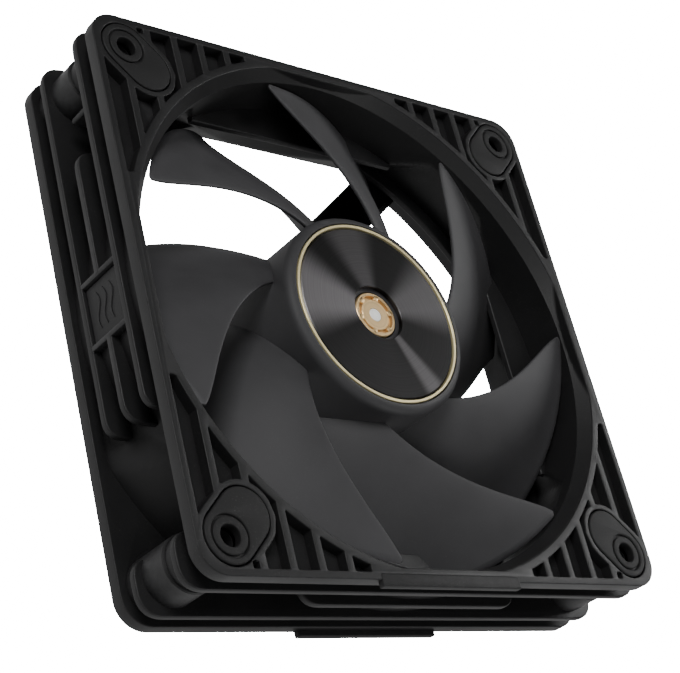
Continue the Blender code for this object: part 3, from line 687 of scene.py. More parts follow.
def duct_radius(sizes, angle, z):
    """Inner radius of the duct at an angle in radians and a height."""
    spread = max(abs(math.cos(angle)), abs(math.sin(angle)))
    radius = sizes.duct
    if z < sizes.flare_depth:
        cone = sizes.flare - z * (sizes.flare - sizes.duct) / sizes.flare_depth
        flats = (sizes.opening - z * sizes.flare_draft) / spread
        radius = max(radius, min(cone, flats))
    start = FRONT_Z - sizes.lip_depth
    if z > start:
        cone = sizes.duct + (z - start) * (sizes.lip - sizes.duct) / sizes.lip_depth
        radius = max(radius, min(cone, sizes.opening / spread))
    return radius


def ring_outline(sizes, z, grow, steps=256):
    """The duct's outline at a height, let out by grow."""
    points = []
    for step in range(steps):
        angle = math.tau * step / steps
        radius = duct_radius(sizes, angle, z) + grow
        points.append((radius * math.cos(angle), radius * math.sin(angle)))
    return points


def rounded_square(half, radius, steps=10):
    points = []
    for turn, (sx, sy) in enumerate(((1, 1), (-1, 1), (-1, -1), (1, -1))):
        centre = (sx * (half - radius), sy * (half - radius))
        points += arc(centre, radius, 90.0 * turn, 90.0 * turn + 90.0, steps)
    return points


CORNERS = {"1": (-1, 1), "2": (1, 1), "3": (1, -1), "4": (-1, -1)}
RIM = 0.0016
POCKET_ARC = 0.061
POCKET_END = 0.0216
FIRST_RIB = 0.0532
RIBS = 5
PAD_RIM = 0.0015
SMALL_POCKET = (0.0015, 0.0013)


def small_pocket(left, top):
    """The little pocket left between the rim round a pad and the flange's edge."""
    right, low = left + SMALL_POCKET[0], top - SMALL_POCKET[1]
    return [(left, low), (right, low), (right, top), (left, top)]


def pocket_outlines(sizes):
    """The pockets of one corner of the intake flange, between the ribs."""
    edge = HALF - RIM
    hole = sizes.hole_pitch / 2
    clear = sizes.pad + PAD_RIM
    rim = [Vector(p) for p in stadium((1, 1), clear, hole, sizes.pad_reach, 24)]
    borders = [edge]
    for rib in range(RIBS):
        x = FIRST_RIB - rib * sizes.pocket_pitch
        borders += [x + sizes.pocket_rib / 2, x - sizes.pocket_rib / 2]
    borders.append(POCKET_END)

    def floor_at(x):
        return max(POCKET_END, math.sqrt(max(0.0, POCKET_ARC**2 - x * x)))

    def rim_at(x, upper):
        """The rim round the pad at x: its lower or its upper side."""
        found = []
        for a, b in zip(rim, rim[1:] + rim[:1]):
            if min(a.x, b.x) <= x <= max(a.x, b.x) and a.x != b.x:
                found.append(a.y + (b.y - a.y) * (x - a.x) / (b.x - a.x))
        if not found:
            return None
        return max(found) if upper else min(found)

    pockets = []
    for right, left in zip(borders[::2], borders[1::2]):
        xs = [left + (right - left) * i / 6 for i in range(7)]
        low = [(x, floor_at(x)) for x in xs]
        under = [rim_at(x, False) for x in xs]
        over = [rim_at(x, True) for x in xs]
        if all(y is None for y in under):
            pockets.append(low + [(right, edge), (left, edge)])
        elif all(y is not None for y in under):
            pockets.append(low + [(x, y) for x, y in zip(xs, under)][::-1])
            if over[0] < edge:
                pockets.append(small_pocket(left, edge))
        else:
            inner = min(p.x for p in rim)
            cut = [inner + (right - inner) * i / 6 for i in range(1, 7)]
            belly = [(x, rim_at(x, False)) for x in cut][::-1]
            back = [(x, rim_at(x, True)) for x in cut]
            middle = [(inner, (rim_at(inner + 1e-5, False) + rim_at(inner + 1e-5, True)) / 2)]
            pockets.append(low + belly + middle + back + [(right, edge), (left, edge)])
    return [softened(p, 0.0003) for p in pockets]


def mirrored(points, corner):
    return [(x * corner[0], y * corner[1]) for x, y in points]


NOTCH = (-0.049, -0.025)
NOTCH_ROUND = 0.004
FIN_EDGE = 0.00035


def fin_outline(sizes, notch):
    """The outer outline of a fin that runs all round but for the cable notch."""
    low_y, high_y = notch
    inner = sizes.duct + sizes.wall / 2
    start = 180.0 + math.degrees(math.asin(-low_y / inner))
    end = 540.0 + math.degrees(math.asin(-high_y / inner))
    shell = [(-HALF, high_y), (-HALF, HALF), (HALF, HALF), (HALF, -HALF), (-HALF, -HALF)]
    radii = [NOTCH_ROUND] + [sizes.corner] * 4 + [NOTCH_ROUND]
    shell.append((-HALF, low_y))
    ring = arc((0.0, 0.0), inner, start, end, 160)
    return softened(shell + ring, radii + [0.0] * len(ring), steps=10)


MID_FIN = 0.0285
MID_ROUND = 0.0045
MID_FIN_TURNS = (0.0, 90.0, 180.0)
MID_LEFT_END = 0.0345
MID_DEPTH = 0.011
BADGE_HALF = 0.0067
BADGE_RIB = 0.0012


def mid_fin(low, high, side_turn, first_radius=MID_ROUND, last_radius=MID_ROUND):
    """Outline of a short middle fin along the bottom side, turned to its own side."""
    shape = [(low, -HALF), (high, -HALF), (high, -HALF + MID_DEPTH), (low, -HALF + MID_DEPTH)]
    outline = softened(shape, [first_radius, last_radius, 0.0, 0.0], steps=8)
    return turned_outline(outline, side_turn)


# ---------------------------------------------------------------- operators


class FAN_OT_finishes(bpy.types.Operator):
    """Make the materials and put the kept CAD pieces in theirs"""

    bl_idname = "fan.finishes"
    bl_label = "Finishes"

    def execute(self, context):
        look = context.scene.fan_finish
        # After the roughness: grain size, grain depth, wear and dust.
        plastic(
            "frame_plastic", look.frame, look.frame_gloss, 5200.0, 0.00004, 0.5, 0.08,
            Specular_IOR_Level=0.3,
        )
        plastic(
            "blade_plastic", look.blades, look.blade_gloss, 7000.0, 0.000025, 0.3, 0.05,
            Specular_IOR_Level=0.32,
        )
        plastic(
            "pad_rubber", look.rubber, 0.62, 6400.0, 0.00005, 0.3, 0.12, Specular_IOR_Level=0.3
        )
        plastic("insulator_nylon", (0.62, 0.60, 0.54), 0.45, 6000.0, 0.00003, 0.2, 0.1)
        plastic("board_laminate", (0.02, 0.12, 0.05), 0.35, 3000.0, 0.00002, 0.2, 0.1)
        plastic("chip_black", (0.012, 0.012, 0.013), 0.5, 8000.0, 0.00002, 0.2, 0.1)
        plastic("magnet_black", (0.03, 0.028, 0.027), 0.6, 4500.0, 0.00004, 0.4, 0.1)
        plastic("label_film", (0.05, 0.05, 0.052), 0.32, 9000.0, 0.00001, 0.2, 0.1)
        # The disc's rays of sheen are painted highlight in its base colour.
        disc_with_painted_sheen("dark_disc", look.disc, 0.42)
        # After the roughness: marks per metre and their depth.
        metal("gold_trim", look.gold, 0.42, 14000.0, 0.00001, spread=0.5)
        metal("brass", look.brass, 0.38, 11000.0, 0.00001, spread=0.8)
        metal("shaft_steel", look.steel, 0.55, 9000.0, 0.00001, spread=0.35)
        metal("bearing_bronze", (0.42, 0.26, 0.13), 0.45, 9000.0, 0.00002)
        metal("yoke_steel", (0.45, 0.45, 0.46), 0.35, 8000.0, 0.00002)
        metal("capacitor_can", (0.55, 0.56, 0.58), 0.3, 8000.0, 0.00001)
        # After the roughness: metallic, shade and relief of the bands.
        copper, steel = (0.72, 0.30, 0.12), (0.40, 0.40, 0.42)
        banded("coil_copper", copper, 0.35, 0.9, 0.55, 0.6, "DIAGONAL", 900.0, 0.6, 1.0)
        banded("motor_steel", steel, 0.42, 0.85, 0.5, 0.5, "Z", 620.0, 0.2, 2.0)
        kept = {
            "bearing_tube": "brass",
            "thrust_pad": "insulator_nylon",
            "sleeve_bearing": "bearing_bronze",
            "oil_seal": "pad_rubber",
            "stator_core": "motor_steel",
            "insulator_lower": "insulator_nylon",
            "insulator_upper": "insulator_nylon",
            "driver_board": "board_laminate",
            "hall_sensor": "chip_black",
            "driver_chip": "chip_black",
            "smoothing_capacitor": "capacitor_can",
            "rotor_yoke": "yoke_steel",
            "rotor_magnet": "magnet_black",
        }
        for number in range(1, 5):
            kept[f"stator_coil_{number}"] = "coil_copper"
        for name, slot in kept.items():
            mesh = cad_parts[name].data
            mesh.materials.clear()
            mesh.materials.append(finish(slot))
        return {"FINISHED"}


SKIN = 0.0008
SKIN_EDGE = 0.0001
SKIN_STEP = 0.00005
SKIN_INSET = 0.0005
SKIN_GAP = 0.0006


def pad_seats(sizes, reach):
    """The four openings in a flange that the corner pads sit in."""
    hole = sizes.hole_pitch / 2
    return [stadium(corner, sizes.pad + ROUND, hole, reach) for corner in CORNERS.values()]


def skin_outlines(sizes, z):
    """A flange's thin inner skin, which closes the seats and pockets but for the screw holes."""
    hole = sizes.hole_pitch / 2
    outer = rounded_square(HALF - SKIN_INSET, sizes.corner - SKIN_INSET)
    holes = [circle(sizes.hole, 32, (sx * hole, sy * hole)) for sx, sy in CORNERS.values()]
    return [outer, ring_outline(sizes, z, SKIN_GAP)] + holes


class FAN_OT_intake_flange(bpy.types.Operator):
    """Build the intake flange with its ribbed corner pockets"""

    bl_idname = "fan.intake_flange"
    bl_label = "Intake flange"

    def execute(self, context):
        sizes = context.scene.fan_frame
        low = FRONT_Z - sizes.flange
        outer = rounded_square(HALF, sizes.corner)
        opening = ring_outline(sizes, FRONT_Z - sizes.edge, sizes.seam)
        pockets = []
        for corner in CORNERS.values():
            pockets += [mirrored(p, corner) for p in pocket_outlines(sizes)]
        seats = pad_seats(sizes, sizes.pad_reach)
        top = plate([outer, opening] + seats + pockets, low, FRONT_Z, sizes.edge)
        skin = skin_outlines(sizes, FRONT_Z - sizes.lip_depth)
        floor = plate(skin, low + SKIN_STEP, FRONT_Z - sizes.pocket_depth, SKIN_EDGE)
        frame_piece("intake_flange", joined([top, floor]))
        return {"FINISHED"}


class FAN_OT_outlet_flange(bpy.types.Operator):
    """Build the outlet flange"""

    bl_idname = "fan.outlet_flange"
    bl_label = "Outlet flange"

    def execute(self, context):
        sizes = context.scene.fan_frame
        high = REAR_Z + sizes.flange
        outer = rounded_square(HALF, sizes.corner)
        opening = ring_outline(sizes, REAR_Z + sizes.edge, sizes.seam)
        seats = pad_seats(sizes, sizes.rear_reach)
        bottom = plate([outer, opening] + seats, REAR_Z, high, sizes.edge)
        skin = skin_outlines(sizes, REAR_Z + sizes.edge)
        roof = plate(skin, high - SKIN, high - SKIN_STEP, SKIN_EDGE)
        frame_piece("outlet_flange", joined([bottom, roof]))
        return {"FINISHED"}


DUCT_ROWS = (40, 6, 10)
DUCT_STEPS = 384
DUCT_CREASE = 22.0


class FAN_OT_duct(bpy.types.Operator):
    """Build the duct wall, from the round intake to the squarer outlet"""

    bl_idname = "fan.duct"
    bl_label = "Duct"

    def execute(self, context):
        sizes = context.scene.fan_frame
        low = REAR_Z + sizes.edge
        high = FRONT_Z - sizes.edge
        breaks = (low, sizes.flare_depth, FRONT_Z - sizes.lip_depth, high)
        heights = [low]
        for start, end, rows in zip(breaks, breaks[1:], DUCT_ROWS):
            heights += [start + (end - start) * row / rows for row in range(1, rows + 1)]
        rise = len(heights) - 1

        def place(u, v):
            angle = math.tau * u
            step = round(v * 2 * (rise + 1))
            inner = step <= rise
            z = heights[step] if inner else heights[max(0, 2 * rise + 1 - step)]
            radius = duct_radius(sizes, angle, z)
            if not inner and step < 2 * (rise + 1):
                radius += sizes.wall
            return Vector((radius * math.cos(angle), radius * math.sin(angle), z))

        frame_piece("duct_wall", wrapped(DUCT_STEPS, 2 * (rise + 1), place), DUCT_CREASE)
        return {"FINISHED"}


class FAN_OT_fins(bpy.types.Operator):
    """Build the fins round the four sides, and the ribs of the badge box"""

    bl_idname = "fan.fins"
    bl_label = "Side fins"

    def execute(self, context):
        sizes = context.scene.fan_frame
        half = sizes.fin / 2
        parts = []
        for z in (sizes.fin_low, sizes.fin_high):
            parts.append(plate([fin_outline(sizes, NOTCH)], z - half, z + half, FIN_EDGE))
        z = (sizes.fin_low + sizes.fin_high) / 2
        outlines = [mid_fin(-MID_FIN, MID_FIN, turn) for turn in MID_FIN_TURNS]
        outlines.append(mid_fin(-MID_LEFT_END, -BADGE_HALF, 270.0, last_radius=0.0))
        outlines.append(mid_fin(BADGE_HALF, -NOTCH[1], 270.0, first_radius=0.0))
        parts += [plate([outline], z - half, z + half, FIN_EDGE) for outline in outlines]
        for side in (-1, 1):
            y = side * BADGE_HALF
            near = (-HALF + 0.00005, y - BADGE_RIB / 2, sizes.fin_low)
            far = (-sizes.duct, y + BADGE_RIB / 2, sizes.fin_high)
            parts.append(block(near, far, ROUND))
        frame_piece("side_fins", joined(parts))
        return {"FINISHED"}


POST_SINK = 0.0005
POST_STEP = 0.0152
POST_FOOT = 0.00055
POST_COLLAR = 0.0026
WEB_INNER = 0.042
WEB_OUTER = HALF - 0.0022
WEB_Y = 0.0432
WEB_HALF = 0.0007
WEB_LOW = 0.0122
WEB_HIGH = 0.0200


class FAN_OT_posts(bpy.types.Operator):
    """Build the screw posts between the flanges, with their steps and webs"""

    bl_idname = "fan.posts"
    bl_label = "Screw posts"

    def execute(self, context):
        sizes = context.scene.fan_frame
        hole = sizes.hole_pitch / 2
        low = REAR_Z + sizes.flange - POST_SINK
        high = FRONT_Z - sizes.flange + POST_SINK
        foot, neck = sizes.boss + POST_FOOT, sizes.boss - ROUND
        collar = POST_STEP + POST_COLLAR
        profile = [
            (sizes.hole, low),
            (foot, low),
            (foot, POST_STEP - ROUND),
            (sizes.boss + ROUND, POST_STEP),
            (sizes.boss, POST_STEP + 0.0001),
            (sizes.boss, collar),
            (neck, collar + ROUND),
            (neck, high - 0.0004),
            (sizes.boss, high),
            (sizes.hole, high),
        ]
        parts = []
        for sx, sy in CORNERS.values():
            post = turned(profile, 64)
            parts.append(moved(post, Matrix.Translation((sx * hole, sy * hole, 0.0))))
            if sx < 0 and sy < 0:
                continue
            inner, outer = sorted((sx * WEB_INNER, sx * WEB_OUTER))
            y = sy * WEB_Y
            low_corner = (inner, y - WEB_HALF, WEB_LOW)
            high_corner = (outer, y + WEB_HALF, WEB_HIGH)
            parts.append(block(low_corner, high_corner, 0.0006, 3))
        frame_piece("screw_posts", joined(parts))
        return {"FINISHED"}


STRUT_LIFT = 0.0002
STRUT_HEIGHT = 0.0034
STRUT_WIDTH = 0.0034
STRUT_LEAN = 0.28
CABLE_WIDTH = 0.0104
CABLE_WALL = 0.0012
CABLE_CLIPS = (0.031, 0.0535)
BASE_RIM = 0.0016
BASE_RECESS = 0.0038
BASE_FLOOR = 0.0025
BASE_TOP = 0.004
LABEL_DEPTH = 0.0006
TUBE_INNER = 0.0055
TUBE_OUTER = 0.0071
TUBE_TOP = 0.007


def thin_strut(outer, far):
    """Outline of a thin strut, which leaves the motor base along its edge."""
    inner = outer - STRUT_WIDTH
    return softened([(0.008, inner), (far, inner), (far - 0.002, outer), (0.008, outer)], 0.0004)


def cable_strut(outer, far, low, top):
    """The wide strut: a channel with a floor, two walls and two clips."""
    inner = outer - CABLE_WIDTH
    start, half = 0.012, CABLE_WALL / 2
    floor = [(start, inner), (far, inner), (far - 0.003, outer), (start, outer)]
    parts = [plate([floor], low, low + CABLE_WALL, 0.0003)]
    for y, end in ((outer - half, far - 0.0026), (inner + half, far)):
        wall = [(start, y - half), (end, y - half), (end, y + half), (start, y + half)]
        parts.append(plate([wall], low, top, 0.0003))
    for x in CABLE_CLIPS:
        near = (x - 0.0012, outer - 0.0028, top - 0.0012)
        far_end = (x + 0.0012, outer + 0.0002, top + 0.0006)
        parts.append(block(near, far_end, ROUND))
    return joined(parts)


class FAN_OT_struts(bpy.types.Operator):
    """Build the motor base, the cable strut with its channel, and the thin struts"""

    bl_idname = "fan.struts"
    bl_label = "Struts and motor base"

    def execute(self, context):
        sizes = context.scene.fan_frame
        low = REAR_Z + STRUT_LIFT
        top = low + STRUT_HEIGHT
        outer = sizes.base - 0.0003
        parts = []
        for turn in range(4):
            degrees = math.degrees(sizes.cable) + 90.0 * turn
            far = duct_radius(sizes, math.radians(degrees) + STRUT_LEAN, low + 0.002)
            far += sizes.wall * 0.4
            if turn:
                strut = plate([thin_strut(outer, far)], low, top, 0.0005)
            else:
                strut = cable_strut(outer, far, low, top)
            parts.append(turned_copy(strut, degrees))
            strut.free()
        rim_in = sizes.base - BASE_RIM
        recess = sizes.base - BASE_RECESS
        floor = REAR_Z + BASE_FLOOR
        ceiling = REAR_Z + LABEL_DEPTH
        profile = [
            (0.0, floor - 0.0004),
            (TUBE_INNER, floor - 0.0004),
            (TUBE_INNER, TUBE_TOP),
            (TUBE_OUTER, TUBE_TOP),
            (TUBE_OUTER, floor),
            (rim_in, floor),
            (rim_in, BASE_TOP - 0.0002),
            (rim_in + ROUND, BASE_TOP),
            (sizes.base - 0.0004, BASE_TOP),
            (sizes.base, BASE_TOP - 0.0004),
            (sizes.base, REAR_Z + 0.0004),
            (sizes.base - 0.0004, REAR_Z),
            (recess + 0.0002, REAR_Z),
            (recess, REAR_Z + 0.0002),
            (recess, ceiling),
            (0.0, ceiling),
        ]
        parts.append(turned(profile, 96, closed=False))
        frame_piece("motor_base", joined(parts))
        return {"FINISHED"}


GROOVE = 0.0041
COLLAR = 0.0037
LINK = 0.0045
LINK_LOW = 0.0014
LINK_HIGH = 0.0005


class FAN_OT_pads(bpy.types.Operator):
    """Build the eight corner pads and the two edge strips"""

    bl_idname = "fan.pads"
    bl_label = "Pads and strips"

    def execute(self, context):
        sizes = context.scene.fan_frame
        hole = sizes.hole_pitch / 2
        top = PAD_BOX[1].z
        thick = PAD_BOX[1].z - PAD_BOX[0].z
        for number, corner in CORNERS.items():
            centre = (corner[0] * hole, corner[1] * hole)
            for side, reach in (("front", sizes.pad_reach), ("rear", sizes.rear_reach)):
                rings = [stadium(corner, sizes.pad, hole, reach), circle(GROOVE, 48, centre)]
                body = plate(rings, 0.0, thick, ROUND)
                rings = [circle(COLLAR, 48, centre), circle(sizes.hole, 40, centre)]
                collar = plate(rings, 0.0, thick, 0.00025)
                rings = [circle(LINK, 40, centre), circle(sizes.hole + ROUND, 40, centre)]
                link = plate(rings, thick - LINK_LOW, thick - LINK_HIGH, 0.0001)
                pad = joined([body, collar, link])
                if side == "front":
                    moved(pad, Matrix.Translation((0.0, 0.0, top - thick)))
                else:
                    moved(pad, Matrix.Diagonal((1, 1, -1, 1)))
                    moved(pad, Matrix.Translation((0.0, 0.0, thick)))
                    bmesh.ops.recalc_face_normals(pad, faces=pad.faces)
                old = f"{side}_pad_{number}"
                finished(f"{side}_corner_pad_{number}", pad, "stator", "pad_rubber", [old])
        for name in ("front_edge_strip", "rear_edge_strip"):
            low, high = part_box(name)
            strip = block(low, high, 0.0003, 3)
            finished(name + "_soft", strip, "stator", "pad_rubber", [name])
        return {"FINISHED"}


WAVE_STEPS = 24
WAVE_LENGTH = 1.35
WAVE_PITCH = 0.42
WAVE_RISE = 0.0007
WAVE_WIDTH = 0.00032


class FAN_OT_badge(bpy.types.Operator):
    """Build the side badge plate with a plain airflow mark"""

    bl_idname = "fan.badge"
    bl_label = "Side badge"

    def execute(self, context):
        low, high = BADGE_BOX
        half_y = (high.y - low.y) / 2
        half_z = (high.z - low.z) / 2
        middle = (low.z + high.z) / 2
        shape = [(-half_y, -half_z), (half_y, -half_z), (half_y, half_z), (-half_y, half_z)]
        parts = [plate([softened(shape, 0.0008)], 0.0, 0.0005, 0.00015)]
        for row in (-1, 0, 1):
            upper, lower = [], []
            for step in range(WAVE_STEPS + 1):
                t = step / WAVE_STEPS
                x = (t - 0.5) * half_y * WAVE_LENGTH
                y = row * half_z * WAVE_PITCH + WAVE_RISE * math.sin(math.tau * t)
                wide = WAVE_WIDTH * math.sin(math.pi * (0.08 + 0.84 * t))
                upper.append((x, y + wide))
                lower.append((x, y - wide))
            parts.append(plate([upper + lower[::-1]], 0.0003, 0.00068, 0.00008, 2))
        whole = joined(parts)
        stand = Matrix(((0, 0, -1, high.x), (-1, 0, 0, 0), (0, 1, 0, middle), (0, 0, 0, 1)))
        moved(whole, stand)
        bmesh.ops.recalc_face_normals(whole, faces=whole.faces)
        finished("side_badge_plate", whole, "stator", "frame_plastic", ["side_badge"])
        return {"FINISHED"}


class FAN_OT_label(bpy.types.Operator):
    """Build the plain round label under the motor"""

    bl_idname = "fan.label"
    bl_label = "Rear label"

    def execute(self, context):
        low, high = LABEL_BOX
        disc = plate([circle(high.x, 96)], low.z, high.z, 0.0001)
        finished("rear_label_film", disc, "stator", "label_film", ["rear_label"])
        return {"FINISHED"}


ROOT_SINK = 0.0006
SWEEP_POWER = 1.45
RISE_POWER = 0.75
TIP_START = 0.972
TIP_TRIM = 0.017
SECTION_START = 0.12
SECTION_SHARE = 0.8
SECTION_POWER = 0.45
ALONG_STEP = 0.001
BLADE_GRID = (44, 88)
HUB_SEAT = 0.0247
HUB_CEILING = 0.0223
HUB_FOOT = 0.0048
HUB_WALL = 0.0017


def blade_point(sizes, across, along):
    """Radius, angle in radians and height of the blade's middle surface."""
    root = sizes.hub - ROOT_SINK
    tip = bpy.context.scene.fan_frame.duct - sizes.tip_gap
    radius = root + (tip - root) * across
    lead = sizes.first - sizes.sweep * (1.0 - across) ** SWEEP_POWER
    lead_z = sizes.lead_root + (sizes.lead_tip - sizes.lead_root) * across**RISE_POWER
    turn = lead - sizes.wrap * along
    height = lead_z + (sizes.trail - lead_z) * along + sizes.camber * 4.0 * along * (1.0 - along)
    return radius, turn, height


class FAN_OT_impeller(bpy.types.Operator):
    """Build the hub and its swept blades"""

    bl_idname = "fan.impeller"
    bl_label = "Impeller"

    def execute(self, context):
        sizes = context.scene.fan_rotor
        def place(u, v):
            """u runs out from the hub, and v runs round the blade's section."""
            span = min(1.0, u)
            along = 0.5 - 0.5 * math.cos(math.tau * v)
            tip = max(0.0, (span - TIP_START) / (1.0 - TIP_START))
            trim = TIP_TRIM * tip * tip
            along = trim + along * (1.0 - 2 * trim)
            radius, turn, height = blade_point(sizes, span, along)
            _, turn_on, height_on = blade_point(sizes, span, along + ALONG_STEP)
            run = radius * (turn_on - turn)
            rise = height_on - height
            size = math.hypot(run, rise)
            full = math.sin(math.pi * min(1.0, along * SECTION_SHARE + SECTION_START))
            thick = sizes.blade_edge + (sizes.blade - sizes.blade_edge) * full
            thick *= math.sqrt(max(0.0, 1.0 - tip**3))
            wave = math.sin(math.tau * v)
            half = thick / 2 * math.copysign(abs(wave) ** SECTION_POWER, wave)
            turn += half * rise / size / radius
            height -= half * run / size
            return Vector((radius * math.cos(turn), radius * math.sin(turn), height))

        blade = wrapped(*BLADE_GRID, place)
        blades = [turned_copy(blade, 360.0 / sizes.blades * i) for i in range(sizes.blades)]
        blade.free()
        top = HUB_BOX[1].z - 0.0001
        bore, recess = BUSH_BOX[1].x + ROUND, sizes.trim + ROUND
        inside = sizes.hub - HUB_WALL
        corner = (sizes.hub - sizes.shoulder, top - sizes.shoulder)
        profile = [(bore, HUB_SEAT), (recess, HUB_SEAT), (recess, top - 0.0002)]
        profile += arc(corner, sizes.shoulder, 87.0, 0.0, 12)
        profile += [
            (sizes.hub, HUB_FOOT + ROUND),
            (sizes.hub - ROUND, HUB_FOOT),
            (inside + ROUND, HUB_FOOT),
            (inside, HUB_FOOT + ROUND),
            (inside, HUB_CEILING),
            (bore, HUB_CEILING),
        ]
        whole = joined(blades)
        finished("impeller_blades", whole, "rotor", "blade_plastic", ["impeller"], crease=50.0)
        finished("impeller_hub", turned(profile, 160), "rotor", "blade_plastic", ["impeller"])
        return {"FINISHED"}


CHAMFER = 0.00012
DISC_BORE = 0.0062
TRIM_WALL = 0.0006
BUSH_NECK = 0.0036
BUSH_GROOVE = 0.0006
BUSH_RIM = 0.0008
BUSH_HEAD = 0.0026
LUGS = 6
FIRST_LUG = 12.0


class FAN_OT_hub_trim(bpy.types.Operator):
    """Build the turned disc, the trim ring, the bush and the shaft end"""

    bl_idname = "fan.hub_trim"
    bl_label = "Hub trim"

    def execute(self, context):
        low, high = DISC_BOX
        outer = high.x + 0.00015
        profile = [
            (DISC_BORE + CHAMFER, high.z),
            (outer - 0.0002, high.z),
            (outer, high.z - 0.0002),
            (outer, low.z),
            (DISC_BORE, low.z),
            (DISC_BORE, high.z - CHAMFER),
        ]
        disc = turned(profile, 192)
        finished("turned_disc", disc, "rotor", "dark_disc", ["hub_disc"], crease=20.0)
        low, high = HUB_BOX
        outer = high.x
        inner = outer - TRIM_WALL
        profile = [
            (inner, low.z),
            (outer, low.z),
            (outer, high.z - CHAMFER),
            (outer - CHAMFER, high.z),
            (inner + CHAMFER, high.z),
            (inner, high.z - CHAMFER),
        ]
        ring = turned(profile, 192)
        finished("trim_ring", ring, "rotor", "gold_trim", ["hub_trim_ring"], crease=20.0)
        low, high = BUSH_BOX
        outer, top = high.x, high.z
        neck = BUSH_NECK
        bore = SHAFT_BOX[1].x + 0.00008
        dish = top - 0.00015
        groove = dish - BUSH_GROOVE
        under = top - BUSH_HEAD
        profile = [
            (bore, dish),
            (neck - 0.0001, dish),
            (neck, dish - 0.0001),
            (neck + 0.0001, groove),
            (outer - BUSH_RIM - 0.0001, groove),
            (outer - BUSH_RIM, top),
            (outer - 0.0002, top),
            (outer, top - 0.0002),
            (outer, under),
            (neck, under),
            (neck, low.z),
            (bore, low.z),
        ]
        parts = [turned(profile, 96)]
        lug = block((outer - 0.0016, -0.0006, groove), (outer - ROUND, 0.0006, top), 0.0002, 3)
        parts += [turned_copy(lug, 360.0 / LUGS * i + FIRST_LUG) for i in range(LUGS)]
        lug.free()
        finished("shaft_bush_turned", joined(parts), "rotor", "brass", ["shaft_bush"])
        low, high = SHAFT_BOX
        radius = high.x
        profile = [
            (0.0, high.z),
            (radius - CHAMFER, high.z),
            (radius, high.z - CHAMFER),
            (radius, low.z + ROUND),
            (radius - ROUND, low.z),
            (0.0, low.z),
        ]
        shaft = turned(profile, 48, closed=False)
        finished("shaft_turned", shaft, "rotor", "shaft_steel", ["rotor_shaft"])
        return {"FINISHED"}


# Name, azimuth and height in degrees, width in metres, power in watts.
LAMPS = (
    ("far_side", 14.0, 30.0, 0.35, 3.6),
    ("overhead", 33.0, 80.0, 0.4, 1.0),
    ("left_side", 150.0, 50.0, 0.4, 6.8),
    ("near_side", 238.0, 48.0, 0.4, 1.3),
    ("right_side", 300.0, 24.0, 0.35, 2.6),
)
LAMP_DISTANCE = 1.0
FLOOR_SIZE = 3.0
FLOOR_DROP = 0.0002


def direction(azimuth, rise):
    """The unit vector at an azimuth and a rise, both in radians."""
    level = math.cos(rise)
    return Vector((math.cos(azimuth) * level, math.sin(azimuth) * level, math.sin(rise)))


def area_light(name, azimuth, height, width, power):
    """A square light in a direction given in degrees, which faces the fan."""
    out = direction(math.radians(azimuth), math.radians(height))
    lamp = bpy.data.lights.new(name, "AREA")
    lamp.size = width
    lamp.energy = power
    obj = bpy.data.objects.new(name, lamp)
    bpy.context.scene.collection.objects.link(obj)
    obj.location = out * LAMP_DISTANCE
    obj.rotation_euler = (-out).to_track_quat("-Z", "Y").to_euler()


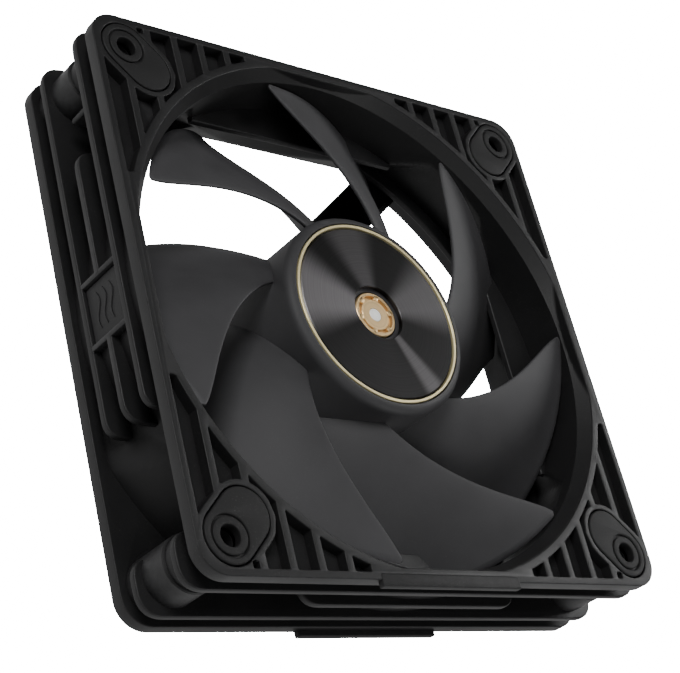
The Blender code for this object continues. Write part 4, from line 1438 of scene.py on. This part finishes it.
class FAN_OT_stage(bpy.types.Operator):
    """Set the floor, the lights and the camera"""

    bl_idname = "fan.stage"
    bl_label = "Stage"

    def execute(self, context):
        stage = context.scene.fan_stage
        made, tree, shader = blank_material("pale_floor", 0.9)
        pale = tuple(stage.floor)
        cloud = noise(tree, object_spot(tree), 9.0, 3.0)
        base = mixed_colour(tree, cloud, scaled_colour(pale, 0.985), pale)
        seen = node(tree, "ShaderNodeLightPath").outputs["Is Camera Ray"]
        felt = scaled_colour(pale, stage.floor_bounce)
        tree.links.new(mixed_colour(tree, seen, felt, base), shader.inputs["Base Color"])
        glow = mixed_colour(tree, seen, scaled_colour(pale, stage.bounce), pale)
        tree.links.new(glow, shader.inputs["Emission Color"])
        shader.inputs["Emission Strength"].default_value = stage.floor_glow
        bm = bmesh.new()
        bmesh.ops.create_grid(bm, x_segments=8, y_segments=8, size=FLOOR_SIZE)
        bmesh.ops.translate(bm, verts=bm.verts, vec=(0.0, 0.0, -FLOOR_DROP))
        mesh = bpy.data.meshes.new("pale_floor")
        bm.to_mesh(mesh)
        bm.free()
        mesh.materials.append(made)
        floor = bpy.data.objects.new("pale_floor", mesh)
        context.scene.collection.objects.link(floor)

        world = bpy.data.worlds.new("soft_room")
        context.scene.world = world
        world.use_nodes = True
        air = world.node_tree
        back = air.nodes["Background"]
        back.inputs["Color"].default_value = (1.0, 1.0, 1.0, 1.0)
        back.inputs["Strength"].default_value = stage.room_light
        shown = node(
            air,
            "ShaderNodeBackground",
            [("Color", (*stage.floor, 1.0)), ("Strength", stage.floor_glow)],
        )
        path = node(air, "ShaderNodeLightPath").outputs["Is Camera Ray"]
        pairs = [(0, path), (1, back.outputs[0]), (2, shown.outputs[0])]
        both = node(air, "ShaderNodeMixShader", pairs)
        air.links.new(both.outputs[0], air.nodes["World Output"].inputs["Surface"])

        for lamp in LAMPS:
            area_light(*lamp)

        lens = bpy.data.cameras.new("camera")
        lens.lens = stage.lens
        lens.sensor_width = 36.0
        lens.clip_start = 0.01
        lens.clip_end = 20.0
        camera = bpy.data.objects.new("camera", lens)
        context.scene.collection.objects.link(camera)
        forward = direction(stage.azimuth, -stage.tilt)
        level = Vector((math.sin(stage.azimuth), -math.cos(stage.azimuth), 0.0))
        above = level.cross(forward)
        right = level * math.cos(stage.roll) + above * math.sin(stage.roll)
        up = right.cross(forward)
        place = Matrix((right, up, -forward)).transposed().to_4x4()
        place.translation = stage.camera
        camera.matrix_world = place
        context.scene.camera = camera
        return {"FINISHED"}


class FAN_PT_looks(bpy.types.Panel):
    """Lists the fan's pieces"""

    bl_idname = "FAN_PT_looks"
    bl_label = "Case Fan"
    bl_space_type = "VIEW_3D"
    bl_region_type = "UI"
    bl_category = "Case Fan"

    def draw(self, context):
        column = self.layout.column()
        for name, group in SETTINGS.items():
            box = column.box()
            box.label(text=group.__doc__)
            for prop in group.__annotations__:
                box.prop(getattr(context.scene, name), prop)
        for operator in OPERATORS:
            column.operator(operator.bl_idname)


OPERATORS = (
    FAN_OT_finishes,
    FAN_OT_intake_flange,
    FAN_OT_outlet_flange,
    FAN_OT_duct,
    FAN_OT_fins,
    FAN_OT_posts,
    FAN_OT_struts,
    FAN_OT_pads,
    FAN_OT_badge,
    FAN_OT_label,
    FAN_OT_impeller,
    FAN_OT_hub_trim,
    FAN_OT_stage,
)


def register():
    for name, group in SETTINGS.items():
        bpy.utils.register_class(group)
        setattr(bpy.types.Scene, name, bpy.props.PointerProperty(type=group))
    for operator in OPERATORS:
        bpy.utils.register_class(operator)
    bpy.utils.register_class(FAN_PT_looks)


def unregister():
    bpy.utils.unregister_class(FAN_PT_looks)
    for operator in reversed(OPERATORS):
        bpy.utils.unregister_class(operator)
    for name, group in SETTINGS.items():
        delattr(bpy.types.Scene, name)
        bpy.utils.unregister_class(group)


def main():
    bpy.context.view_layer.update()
    register()
    for operator in OPERATORS:
        name = operator.bl_idname.split(".")[1]
        getattr(bpy.ops.fan, name)()


if __name__ == "__main__":
    main()
